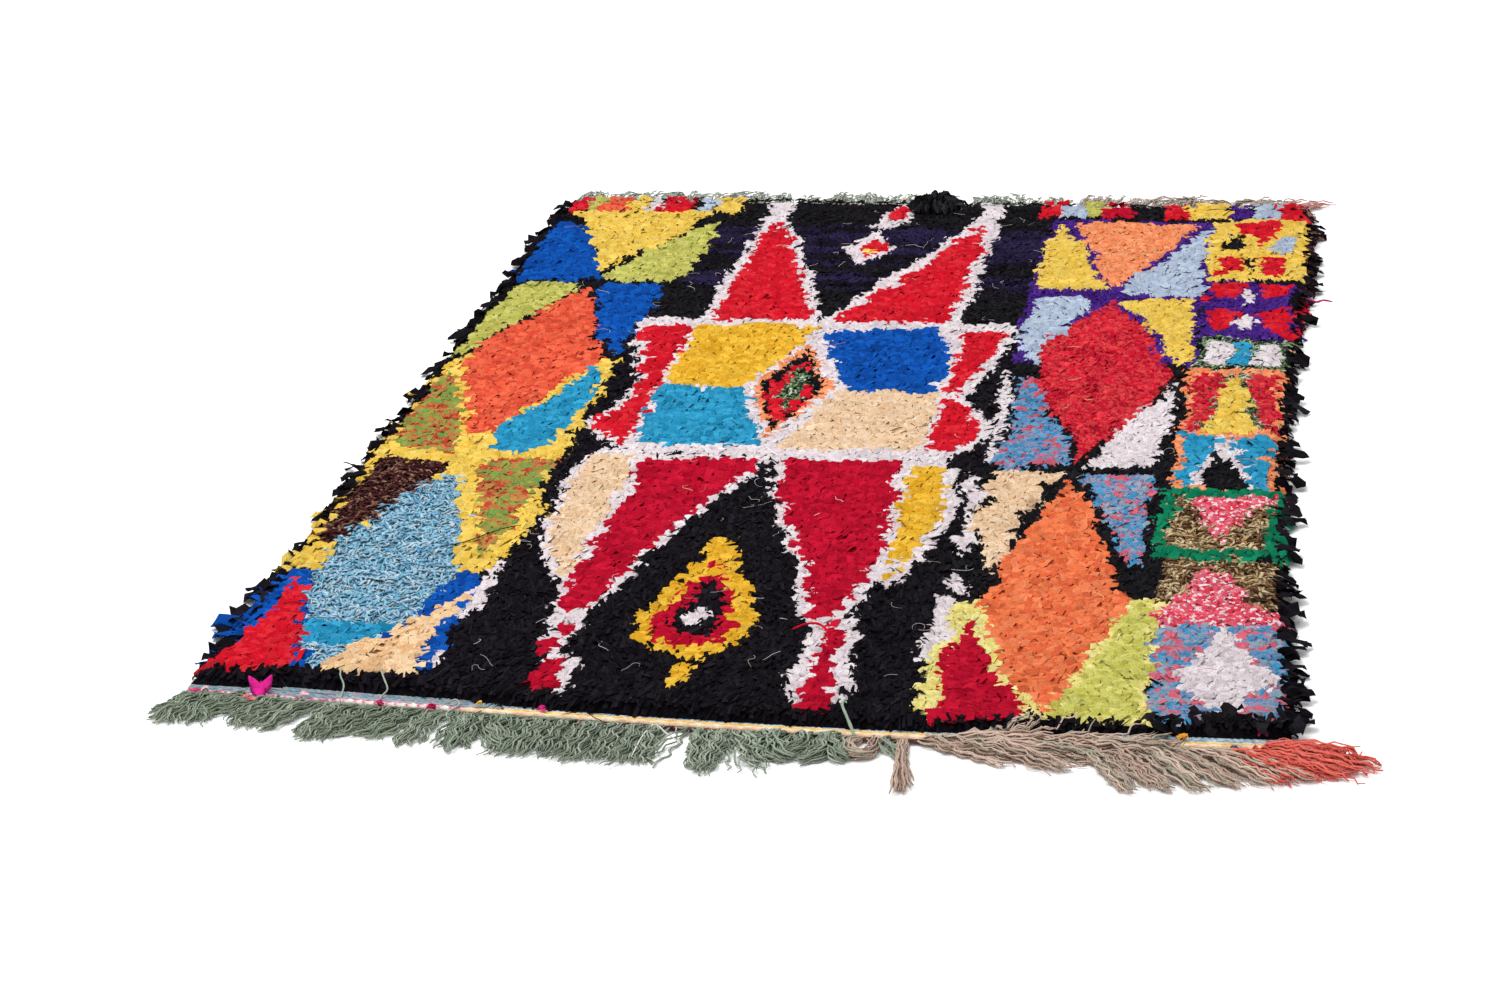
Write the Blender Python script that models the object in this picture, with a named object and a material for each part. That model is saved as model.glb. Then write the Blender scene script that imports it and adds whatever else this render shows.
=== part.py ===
"""A boucherouite rug laid flat: a rag pile knotted on one woven cloth, with a flat-woven band at each end.

The warp is wool in three colours, side by side across the rug, and its ends hang out of both bands as fringe.
Metres, +Z up. The origin is the middle of the underside, +X runs across the rug and +Y towards its far end.
"""

import math

import bmesh
import bpy
from mathutils import Vector, noise

# The outline of the cloth
HALF_WIDTH = 0.738  # from the middle to a side wall of the pile, at the ends
WAIST_IN = 0.030  # how far the right side draws in, where along the rug, and over what half length
WAIST_AT = -0.20
WAIST_REACH = 0.90
SIDE_WANDER = 0.005  # how unevenly the side edges run
NEAR_FOOT = 1.066  # from the middle to the foot of the pile at the near left corner
NEAR_BOW = 0.036  # how far the near end bows out, where across the rug, and over what half width
NEAR_BOW_AT = 0.16
NEAR_BOW_REACH = 0.90
FAR_FOOT = 1.104
NEAR_BAND = 0.038  # width of the flat-woven band at the near end
FAR_BAND = 0.026

# The pile
CLOTH_THICK = 0.0045
PILE_HEIGHT = 0.021
RIM_HEIGHT = 0.013  # the pile's height where it rounds off at a side
CROWN = 0.020  # how far in from its foot the pile reaches its full height
LUMP_WIDE = 0.11  # spacing of the broad and of the small lumps, and how high they are
LUMP_WIDE_HIGH = 0.0030
LUMP_SMALL = 0.034
LUMP_SMALL_HIGH = 0.0040
COLUMNS = 34
ROWS = 52

# The tall bunch of black yarn at the far edge
BUNCH_AT = (0.010, 1.055)
BUNCH_RADIUS = 0.048
BUNCH_RISE = 0.028

# Locks of rag that stand out from the two sides and lie on the floor
LOCK_SHORT, LOCK_LONG = 0.010, 0.040
LOCK_MIDDLE = 0.5  # the share of a lock's length where it is still full
LOCK_MIDDLE_HALF, LOCK_TIP_HALF = 0.013, 0.005
LOCK_MIDDLE_HIGH, LOCK_TIP_HIGH = 0.010, 0.004
LOCK_SWAY = 0.009

# Locks of rag that hang over the flat bands, one on every second column
OVERHANG_SHORT, OVERHANG_LONG = 0.006, 0.014
OVERHANG_HALF = 0.010
OVERHANG_LOW, OVERHANG_HIGH = 0.007, 0.013

# The strip of warp knots that each fringe hangs from, and its yarn
SEAM = 0.0003  # between pieces that meet
STRIP_WIDE, STRIP_HIGH = 0.007, 0.005
YARN_ROOT = 0.004  # how far a lock of fringe runs straight out before it turns
YARN_STATIONS = (0.30, 0.66, 1.0)  # shares of the length where a lock has a ring
YARN_FILL = 0.62  # a lock's width as a share of the room it has
YARN_HIGH = (0.0075, 0.0085, 0.0050)  # a lock's height at those rings
YARN_RAGGED = 0.22  # how unevenly long neighbouring locks are

# Fringe sections, left to right: the yarn, where it starts and ends across the rug, the locks in it,
# their length, and how far they lean to the right in degrees, at the section's two ends
NEAR_FRINGE = (
    dict(yarn="sage", start=-0.735, end=0.175, locks=56, length=(0.088, 0.106), lean=(-16, 12)),
    dict(yarn="beige", start=0.175, end=0.655, locks=28, length=(0.105, 0.140), lean=(16, 48)),
    dict(yarn="coral", start=0.655, end=0.735, locks=6, length=(0.120, 0.145), lean=(52, 62)),
)
FAR_FRINGE = (
    dict(yarn="sage", start=-0.735, end=0.175, locks=46, length=(0.080, 0.078), lean=(12, -14)),
    dict(yarn="beige", start=0.175, end=0.655, locks=24, length=(0.076, 0.074), lean=(-6, 24)),
    dict(yarn="coral", start=0.655, end=0.735, locks=5, length=(0.078, 0.082), lean=(28, 40)),
)

# A scrap of magenta rag knotted into the near band, and its two horns and tail: direction and length
SCRAP_X = -0.655
SCRAP_KNOT = (0.014, 0.012, 0.009)
SCRAP_HORNS = (
    dict(face=(-1, 0, 0), reach=(-0.013, 0.004, 0.010)),
    dict(face=(1, 0, 0), reach=(0.010, 0.004, 0.017)),
    dict(face=(0, -1, 0), reach=(-0.001, -0.008, -0.0035)),
)
SCRAP_TIP = 0.35  # a horn's tip as a share of its root

# Colour as linear RGB, and roughness
MATERIALS = {
    "rag_pile": ((0.020, 0.018, 0.022), 0.92),
    "sage_wool": ((0.300, 0.360, 0.290), 0.90),
    "beige_wool": ((0.480, 0.400, 0.330), 0.90),
    "coral_wool": ((0.700, 0.130, 0.090), 0.88),
    "magenta_rag": ((0.650, 0.020, 0.180), 0.80),
}

NEAR, FAR = -1, 1
LEFT, RIGHT = -1, 1


def clear_scene():
    """Removes every object that is in the file."""
    for thing in list(bpy.data.objects):
        bpy.data.objects.remove(thing)


def make_collection():
    """The collection that holds the rug's pieces."""
    rug = bpy.data.collections.new("boucherouite_rug")
    bpy.context.scene.collection.children.link(rug)
    return rug


def make_material(name):
    """A plain cloth finish of that name."""
    colour, roughness = MATERIALS[name]
    material = bpy.data.materials.new(name)
    material.use_nodes = True
    shader = material.node_tree.nodes["Principled BSDF"]
    shader.inputs["Base Color"].default_value = (*colour, 1.0)
    shader.inputs["Roughness"].default_value = roughness
    shader.inputs["Metallic"].default_value = 0.0
    return material


def uneven(x, y, seed):
    """A smooth uneven value from -1 to 1 at that place, the same each time."""
    return max(-1.0, min(1.0, 1.6 * noise.noise(Vector((x, y, 13.7 * seed)))))


def side_x(side, y):
    """Where the side wall of the pile runs, at that place along the rug."""
    along = (y - WAIST_AT) / WAIST_REACH
    waist = WAIST_IN * max(0.0, 1 - along * along) if side == RIGHT else 0.0
    return side * (HALF_WIDTH - waist) + SIDE_WANDER * uneven(3 * y, side, 1)


def foot_y(end, x):
    """Where the foot of the pile runs at an end, at that place across the rug."""
    if end == FAR:
        return FAR_FOOT
    across = (x - NEAR_BOW_AT) / NEAR_BOW_REACH
    return -(NEAR_FOOT + NEAR_BOW * (1 - across * across))


def cloth_end_y(end, x):
    """Where the woven band ends and the fringe begins."""
    band = NEAR_BAND if end == NEAR else FAR_BAND
    return foot_y(end, x) + end * band


def pile_height(x, y):
    """Height of the shaggy surface above the floor."""
    broad = LUMP_WIDE_HIGH * uneven(x / LUMP_WIDE, y / LUMP_WIDE, 2)
    small = LUMP_SMALL_HIGH * uneven(x / LUMP_SMALL, y / LUMP_SMALL, 3)
    away = math.dist((x, y), BUNCH_AT) / BUNCH_RADIUS
    return PILE_HEIGHT + broad + small + BUNCH_RISE * math.exp(-away * away)


def row_y(row, x):
    """Where a row of the surface lies: the band's edge, the pile's foot and crown, then even steps."""
    foot_near, foot_far = foot_y(NEAR, x), foot_y(FAR, x)
    if row == 0:
        return cloth_end_y(NEAR, x)
    if row == ROWS:
        return cloth_end_y(FAR, x)
    if row == 1:
        return foot_near
    if row == ROWS - 1:
        return foot_far
    share = (row - 2) / (ROWS - 4)
    low, high = foot_near + CROWN, foot_far - CROWN
    return low + (high - low) * share


def column_x(column, y):
    """Where a column of the surface lies: the two rims, the crowns just inside them, then even steps."""
    left, right = side_x(LEFT, y), side_x(RIGHT, y)
    if column in (0, COLUMNS):
        return left if column == 0 else right
    share = (column - 1) / (COLUMNS - 2)
    low, high = left + CROWN, right - CROWN
    return low + (high - low) * share


def surface_point(column, row):
    """A point of the rug's upper surface."""
    even_y = FAR_FOOT * (2 * row / ROWS - 1)
    x = column_x(column, even_y)
    y = row_y(row, x)
    if row <= 1 or row >= ROWS - 1:
        return Vector((x, y, CLOTH_THICK))
    if column in (0, COLUMNS):
        return Vector((x, y, RIM_HEIGHT + LUMP_SMALL_HIGH * uneven(9 * x, y / LUMP_SMALL, 4) / 2))
    return Vector((x, y, pile_height(x, y)))


def place_ring(face, centre, across, half, low, high):
    """Moves a four-sided face's corners to half either way of its centre, between two heights."""
    middle = face.calc_center_median()
    for corner in face.verts:
        way = 1 if (corner.co - middle).dot(across) > 0 else -1
        height = high if corner.co.z > middle.z else low
        corner.co = (centre.x + way * half * across.x, centre.y + way * half * across.y, height)


def extrude_face(bm, face):
    """Draws one face out by itself and returns it at its new place."""
    drawn = bmesh.ops.extrude_discrete_faces(bm, faces=[face])
    return drawn["faces"][0]


def add_side_lock(bm, wall):
    """Draws a lock of rag out of one face of a side wall, down to the floor."""
    root = wall.calc_center_median()
    side = RIGHT if root.x > 0 else LEFT
    along = Vector((0, 1, 0))
    spread = (1 + uneven(40 * root.y, side, 5)) / 2
    length = LOCK_SHORT + (LOCK_LONG - LOCK_SHORT) * spread * spread
    sway = LOCK_SWAY * uneven(31 * root.y, side, 6)
    middle = root + Vector((side * length * LOCK_MIDDLE, sway * LOCK_MIDDLE, 0))
    tip = root + Vector((side * length, sway, 0))
    face = extrude_face(bm, wall)
    place_ring(face, middle, along, LOCK_MIDDLE_HALF, 0.0, LOCK_MIDDLE_HIGH)
    face = extrude_face(bm, face)
    place_ring(face, tip, along, LOCK_TIP_HALF, 0.0, LOCK_TIP_HIGH)


def add_overhang(bm, slope):
    """Draws a lock of rag out of one face of the slope at an end, over the flat band."""
    root = slope.calc_center_median()
    end = FAR if root.y > 0 else NEAR
    spread = (1 + uneven(30 * root.x, end, 9)) / 2
    length = OVERHANG_SHORT + (OVERHANG_LONG - OVERHANG_SHORT) * spread
    tip = Vector((root.x, foot_y(end, root.x) + end * length, 0))
    face = extrude_face(bm, slope)
    place_ring(face, tip, Vector((1, 0, 0)), OVERHANG_HALF, OVERHANG_LOW, OVERHANG_HIGH)


def finish_mesh(bm, name, material, rug):
    """Makes the object of that name, with its faces pointing out."""
    bmesh.ops.recalc_face_normals(bm, faces=bm.faces)
    mesh = bpy.data.meshes.new(name)
    bm.to_mesh(mesh)
    bm.free()
    mesh.materials.append(material)
    piece = bpy.data.objects.new(name, mesh)
    rug.objects.link(piece)
    return piece


def build_body(rug, material):
    """The woven cloth with its pile, as one lumpy slab with locks at its two sides."""
    bm = bmesh.new()
    bmesh.ops.create_grid(bm, x_segments=COLUMNS, y_segments=ROWS, size=0.5)
    for point in bm.verts:
        column = round((point.co.x + 0.5) * COLUMNS)
        row = round((point.co.y + 0.5) * ROWS)
        point.co = surface_point(column, row)
    rim = [edge for edge in bm.edges if edge.is_boundary]
    drawn = bmesh.ops.extrude_edge_only(bm, edges=rim)["geom"]
    floor = [item for item in drawn if isinstance(item, bmesh.types.BMVert)]
    for point in floor:
        point.co.z = 0.0
    floor_edges = [item for item in drawn if isinstance(item, bmesh.types.BMEdge)]
    floor_edges = [edge for edge in floor_edges if edge.is_boundary]
    bmesh.ops.contextual_create(bm, geom=floor_edges)
    bmesh.ops.recalc_face_normals(bm, faces=bm.faces)
    walls = [face for face in bm.faces if abs(face.normal.x) > 0.9 and is_pile_wall(face)]
    slopes = [face for face in bm.faces if is_end_slope(face)]
    slopes.sort(key=lambda face: (face.calc_center_median().y > 0, face.calc_center_median().x))
    for wall in walls:
        add_side_lock(bm, wall)
    for slope in slopes[::2]:
        add_overhang(bm, slope)
    return finish_mesh(bm, "rug_body", material, rug)


def is_pile_wall(face):
    """Whether all the upper corners of a wall face belong to the pile, and not to a flat band."""
    tops = [corner.co.z for corner in face.verts if corner.co.z > 0]
    return len(tops) == 2 and min(tops) > CLOTH_THICK * 1.5


def is_end_slope(face):
    """Whether a face rises from a flat band to the pile's crown, away from the two sides."""
    heights = sorted(corner.co.z for corner in face.verts)
    faces_end = abs(face.normal.y) > 3 * abs(face.normal.x)
    return faces_end and heights[1] < CLOTH_THICK + SEAM and heights[2] > PILE_HEIGHT / 2


def mixed(pair, share):
    """The value that share of the way from the first of a pair to the second."""
    return pair[0] + (pair[1] - pair[0]) * share


def add_yarn_lock(bm, face, end, section, share, room):
    """Draws a lock of fringe out of one face of its strip and lays it on the floor."""
    root = face.calc_center_median()
    ragged = YARN_RAGGED * uneven(60 * root.x, end, 7)
    length = mixed(section["length"], share) * (1 + ragged)
    lean = math.radians(mixed(section["lean"], share) + 5 * uneven(9 * root.x, end, 8))
    out = Vector((0, end, 0))
    face = extrude_face(bm, face)
    start = root + out * YARN_ROOT
    place_ring(face, start, Vector((1, 0, 0)), room * YARN_FILL / 2, 0.0, STRIP_HIGH)
    reached = start
    passed = 0.0
    for station, high in zip(YARN_STATIONS, YARN_HIGH):
        turned = lean * (0.75 + 0.25 * station)
        heading = Vector((math.sin(turned), end * math.cos(turned), 0))
        across = Vector((math.cos(turned), -end * math.sin(turned), 0))
        reached = reached + heading * length * (station - passed)
        passed = station
        taper = 1.0 if station < 1 else 0.55
        half = room * math.cos(turned) * YARN_FILL / 2 * taper
        face = extrude_face(bm, face)
        place_ring(face, reached, across, half, 0.0, high)


def build_fringe(rug, end, section, material):
    """One colour of fringe at one end: a narrow strip of warp knots with its locks of yarn."""
    bm = bmesh.new()
    locks = section["locks"]
    bmesh.ops.create_grid(bm, x_segments=locks, y_segments=1, size=0.5)
    start, stop = section["start"] + SEAM / 2, section["end"] - SEAM / 2
    room = (stop - start) / locks
    for point in bm.verts:
        x = start + (point.co.x + 0.5) * (stop - start)
        outward = SEAM + (point.co.y + 0.5) * STRIP_WIDE
        point.co = (x, cloth_end_y(end, x) + end * outward, 0.0)
    drawn = bmesh.ops.extrude_face_region(bm, geom=bm.faces[:])["geom"]
    for item in drawn:
        if isinstance(item, bmesh.types.BMVert):
            item.co.z = STRIP_HIGH
    bmesh.ops.recalc_face_normals(bm, faces=bm.faces)
    outer = [face for face in bm.faces if face.normal.y * end > 0.9]
    outer.sort(key=lambda face: face.calc_center_median().x)
    for number, face in enumerate(outer):
        add_yarn_lock(bm, face, end, section, number / (locks - 1), room)
    end_name = "near" if end == NEAR else "far"
    return finish_mesh(bm, f"fringe_{end_name}_{section['yarn']}", material, rug)


def build_scrap(rug, material):
    """The scrap of rag knotted on the near band: a small knot with two horns and a tail."""
    bm = bmesh.new()
    bmesh.ops.create_cube(bm, size=1.0)
    bmesh.ops.scale(bm, vec=SCRAP_KNOT, verts=bm.verts)
    for horn in SCRAP_HORNS:
        facing = Vector(horn["face"])
        root = max(bm.faces, key=lambda face: face.calc_center_median().dot(facing))
        tip = extrude_face(bm, root)
        middle = tip.calc_center_median()
        for corner in tip.verts:
            corner.co = middle + (corner.co - middle) * SCRAP_TIP + Vector(horn["reach"])
    middle_y = foot_y(NEAR, SCRAP_X) - NEAR_BAND / 2
    lowest = min(point.co.z for point in bm.verts)
    lift = CLOTH_THICK + SEAM - lowest
    bmesh.ops.translate(bm, vec=(SCRAP_X, middle_y, lift), verts=bm.verts)
    return finish_mesh(bm, "magenta_scrap", material, rug)


def main():
    """Builds the rug."""
    clear_scene()
    rug = make_collection()
    finishes = {name: make_material(name) for name in MATERIALS}
    build_body(rug, finishes["rag_pile"])
    for end, sections in ((NEAR, NEAR_FRINGE), (FAR, FAR_FRINGE)):
        for section in sections:
            build_fringe(rug, end, section, finishes[f"{section['yarn']}_wool"])
    build_scrap(rug, finishes["magenta_rag"])


main()
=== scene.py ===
"""A boucherouite rug lying flat on a pale floor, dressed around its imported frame.

The pile is made tuft by tuft: every rag is a folded strip that stands on its knot and lies over towards the near
end. A chart of plain figures says which rag each knot is tied with.
"""

import logging
import math
from dataclasses import dataclass
from enum import Enum
from functools import cache

import bmesh
import bpy
import numpy as np
from mathutils import Matrix, Vector


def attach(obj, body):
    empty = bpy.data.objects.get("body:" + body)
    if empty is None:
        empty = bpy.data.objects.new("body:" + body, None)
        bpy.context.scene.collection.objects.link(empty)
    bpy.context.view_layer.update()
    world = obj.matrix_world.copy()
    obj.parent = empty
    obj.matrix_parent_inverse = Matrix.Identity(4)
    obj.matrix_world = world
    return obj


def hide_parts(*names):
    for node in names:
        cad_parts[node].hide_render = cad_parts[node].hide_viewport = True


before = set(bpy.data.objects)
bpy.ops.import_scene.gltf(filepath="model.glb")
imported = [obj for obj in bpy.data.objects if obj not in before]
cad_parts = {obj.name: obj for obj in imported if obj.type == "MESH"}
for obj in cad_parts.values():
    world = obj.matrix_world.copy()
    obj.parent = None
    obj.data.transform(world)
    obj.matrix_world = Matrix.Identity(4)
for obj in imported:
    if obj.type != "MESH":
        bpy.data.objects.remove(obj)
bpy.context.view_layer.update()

LOG = logging.getLogger("boucherouite_rug")
BODY = "root"
MM = 0.001
LATTICE = 97  # how many random values lie along each side of the lattice that unevenness is drawn from

Point = tuple[float, float]
Colour = tuple[float, float, float, float]


def linear(hex_code: str) -> Colour:
    """Turns an sRGB hex colour to linear RGB with full alpha.

    Args:
        hex_code: the colour, such as "#d3162a".

    Returns:
        Red, green, blue and alpha from 0 to 1.
    """
    levels = [int(hex_code[place : place + 2], 16) / 255 for place in (1, 3, 5)]
    turned = [level / 12.92 if level <= 0.04045 else ((level + 0.055) / 1.055) ** 2.4 for level in levels]
    return (turned[0], turned[1], turned[2], 1.0)


def hues_of(dyes: tuple[str, ...]) -> np.ndarray:
    """The linear RGB of some sRGB hex dyes, one row for each."""
    return np.array([linear(dye)[:3] for dye in dyes])


def wander(x: np.ndarray, y: np.ndarray, step: float, seed: int) -> np.ndarray:
    """A smooth uneven value from -1 to 1 at each place.

    Args:
        x: places across the rug.
        y: places along the rug.
        step: the distance over which the value changes, in metres.
        seed: picks one unevenness out of many.

    Returns:
        One value for each place.
    """
    lattice = np.random.default_rng(seed).uniform(-1, 1, (LATTICE, LATTICE))
    across, along = x / step + LATTICE // 2, y / step + LATTICE // 2
    column, row = np.floor(across).astype(int), np.floor(along).astype(int)
    share_x, share_y = across - column, along - row
    share_x, share_y = (share * share * (3 - 2 * share) for share in (share_x, share_y))
    low, high = (
        lattice[line % LATTICE, column % LATTICE] * (1 - share_x)
        + lattice[line % LATTICE, (column + 1) % LATTICE] * share_x
        for line in (row, row + 1)
    )
    return low * (1 - share_y) + high * share_y


@dataclass(frozen=True)
class Stance:
    """How the tufts of one cut of rag are spaced, cut and laid, in metres and degrees."""

    pitch: float
    width: float
    length: float
    rise: float
    droop: float
    fold: float
    spread: float
    tip: float
    stations: int
    smooth: bool
    cushion: float


class Cut(Enum):
    """The ways in which the rags were cut."""

    FLAKE = Stance(0.0086, 0.0182, 0.0240, 0.0046, 0.0013, 0.0017, 19, 0.70, 3, False, 0.0025)
    CHIP = Stance(0.0077, 0.0140, 0.0195, 0.0036, 0.0013, 0.0014, 24, 0.72, 3, False, 0.0022)
    WISP = Stance(0.0067, 0.0106, 0.0180, 0.0042, 0.0025, 0.0014, 30, 0.62, 2, False, 0.0010)
    RIBBON = Stance(0.0062, 0.0056, 0.0190, 0.0031, 0.0014, 0.0010, 95, 0.80, 3, True, 0.0003)


@dataclass(frozen=True)
class Cloth:
    """What one kind of rag is: the bale it is stored with, its cut, its dyes and how unevenly they took."""

    bale: str
    cut: Cut
    dyes: tuple[str, ...]
    fleck: str | None = None
    uneven: float = 0.07
    patch: float = 0.0
    run: float = 1.0


class Rag(Enum):
    """The rags in the pile."""

    BLACK = Cloth("black", Cut.WISP, ("#18151b", "#1f1b22", "#120f14"), uneven=0.22)
    NAVY = Cloth("navy", Cut.WISP, ("#2b2344", "#211a34", "#17131b"), uneven=0.20, patch=0.020, run=6.0)
    SOOT = Cloth("soot", Cut.WISP, ("#19171b", "#201e23", "#141216"), uneven=0.22)
    WHITE = Cloth("white", Cut.CHIP, ("#e6dade", "#ece3e6", "#dccfd4"), uneven=0.04)
    CREAM = Cloth("cream", Cut.CHIP, ("#eac8a4", "#eed2b2", "#e2bd96"), uneven=0.04)
    PEACH = Cloth("cream", Cut.FLAKE, ("#f0c898", "#f4d2a8", "#e6b888"), uneven=0.05)
    RED = Cloth("red", Cut.FLAKE, ("#d3162a", "#cc1528", "#dd2a36"))
    SCARLET = Cloth("scarlet", Cut.CHIP, ("#d01a34", "#da3540", "#b80e2a"), "#e46a5c", 0.10, 0.016)
    CRIMSON = Cloth("crimson", Cut.FLAKE, ("#bc0e2e", "#c61533", "#ad0a29"))
    CORAL = Cloth("orange", Cut.FLAKE, ("#e85e42", "#ee6a4a", "#d84e38"), uneven=0.08)
    ORANGE = Cloth("orange", Cut.FLAKE, ("#ef7c4c", "#f2865a", "#e46a42"), uneven=0.08)
    APRICOT = Cloth("orange", Cut.CHIP, ("#f79665", "#f9a374", "#ee8a5a"))
    YELLOW = Cloth("yellow", Cut.FLAKE, ("#eec858", "#f0cf66", "#e6be4a"), uneven=0.06)
    GOLD = Cloth("gold", Cut.FLAKE, ("#eab635", "#eebf42", "#dea728"))
    STRAW = Cloth("yellow", Cut.CHIP, ("#efe28a", "#f2e79a", "#e8d878"), uneven=0.04)
    LIME = Cloth("lime", Cut.FLAKE, ("#c0be60", "#c8c66c", "#b2b054"), uneven=0.06)
    ACID = Cloth("lime", Cut.FLAKE, ("#cfcc68", "#d8d476", "#c4c05a"), uneven=0.05)
    ROYAL = Cloth("royal", Cut.FLAKE, ("#0e51ac", "#125ab8", "#0b479c"))
    TURQUOISE = Cloth("turquoise", Cut.FLAKE, ("#2b95c0", "#36a0ca", "#2288b2"))
    HEATHER = Cloth("heather", Cut.RIBBON, ("#7dbbd8", "#9ac8e0", "#64a9cf", "#b8d5e5"), "#cddeea", patch=0.009)
    SKY = Cloth("heather", Cut.FLAKE, ("#b4c3d8", "#becbdc", "#a8b8d0"), uneven=0.05)
    CORNFLOWER = Cloth("cornflower", Cut.CHIP, ("#3f88b8", "#4d94c0", "#3a86b4", "#5ba0c8", "#c86074"),
                       "#c98794", patch=0.016)
    PLUM = Cloth("purple", Cut.WISP, ("#4b2588", "#532c92", "#42207a"), uneven=0.10)
    GREEN = Cloth("green", Cut.FLAKE, ("#0f7d58", "#158a62", "#0c7050"), uneven=0.08)
    BARK = Cloth("melange", Cut.RIBBON, ("#3c181e", "#2b1216", "#4b2126", "#94705c"), "#7c5046", 0.12)
    DUN = Cloth("melange", Cut.RIBBON, ("#e0cba2", "#ccb080", "#8a6446", "#4e3424"), "#8a6a4c", 0.10, 0.013)
    PEPPER = Cloth("melange", Cut.RIBBON, ("#24352a", "#31462f", "#6c9a62", "#cdd6c2"), "#a9bd96", 0.10)
    MOSS = Cloth("mottle", Cut.CHIP, ("#74994a", "#9a9c4a", "#c07c46", "#c04434"), "#b0944e", patch=0.016)
    POLKA = Cloth("polka", Cut.CHIP, ("#dd3c52", "#e35268", "#e56c80"), fleck="#f6e6ea", uneven=0.06)
    DAPPLE = Cloth("mottle", Cut.CHIP, ("#4a92be", "#4596c4", "#8aa6ba", "#d46478"), "#d48c98", patch=0.015)


@dataclass(frozen=True)
class Figure:
    """One plain figure of the chart, in metres: its rag, its corners, and how wide a white outline it has."""

    rag: Rag
    corners: tuple[Point, ...]
    rim: float = 0.0

    def reach(self, x: np.ndarray, y: np.ndarray) -> np.ndarray:
        """How far each place lies outside the figure; a place inside has a negative value."""
        ends = list(zip(self.corners, (*self.corners[1:], self.corners[0])))
        nearest = np.full(x.shape, np.inf)
        inside = np.zeros(x.shape, bool)
        for (x0, y0), (x1, y1) in ends:
            run_x, run_y = x1 - x0, y1 - y0
            share = ((x - x0) * run_x + (y - y0) * run_y) / max(run_x**2 + run_y**2, 1e-12)
            share = np.clip(share, 0, 1)
            nearest = np.minimum(nearest, np.hypot(x - x0 - share * run_x, y - y0 - share * run_y))
            crosses = (y0 > y) != (y1 > y)
            level = run_y if abs(run_y) > 1e-9 else 1e-9
            inside ^= crosses & (x < x0 + (y - y0) * run_x / level)
        return np.where(inside, -nearest, nearest)


def box(rag: Rag, left: float, right: float, low: float, high: float) -> Figure:
    """An upright box of the chart, in millimetres."""
    return figure(rag, (left, low), (right, low), (right, high), (left, high))


def lozenge(rag: Rag, centre: Point, half: Point) -> Figure:
    """A lozenge of the chart, from its centre and its half width and half length, in millimetres."""
    (x, y), (across, along) = centre, half
    return figure(rag, (x, y + along), (x + across, y), (x, y - along), (x - across, y))


def figure(rag: Rag, *corners: Point, rim: float = 0.0) -> Figure:
    """A figure of the chart with those corners and that outline, in millimetres."""
    return Figure(rag, tuple((x / 1000, y / 1000) for x, y in corners), rim / 1000)


FAR_BORDER = (
    (Rag.RED, -750, -680), (Rag.LIME, -690, -650), (Rag.CORAL, -660, -600), (Rag.YELLOW, -610, -570),
    (Rag.WHITE, -570, -540), (Rag.RED, -540, -480), (Rag.SKY, -460, -430), (Rag.YELLOW, -430, -380),
    (Rag.RED, 220, 260), (Rag.SKY, 260, 305), (Rag.LIME, 305, 345), (Rag.CRIMSON, 345, 390),
    (Rag.RED, 460, 520), (Rag.YELLOW, 500, 580), (Rag.PLUM, 585, 630), (Rag.SKY, 630, 680), (Rag.RED, 680, 715),
)

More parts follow.
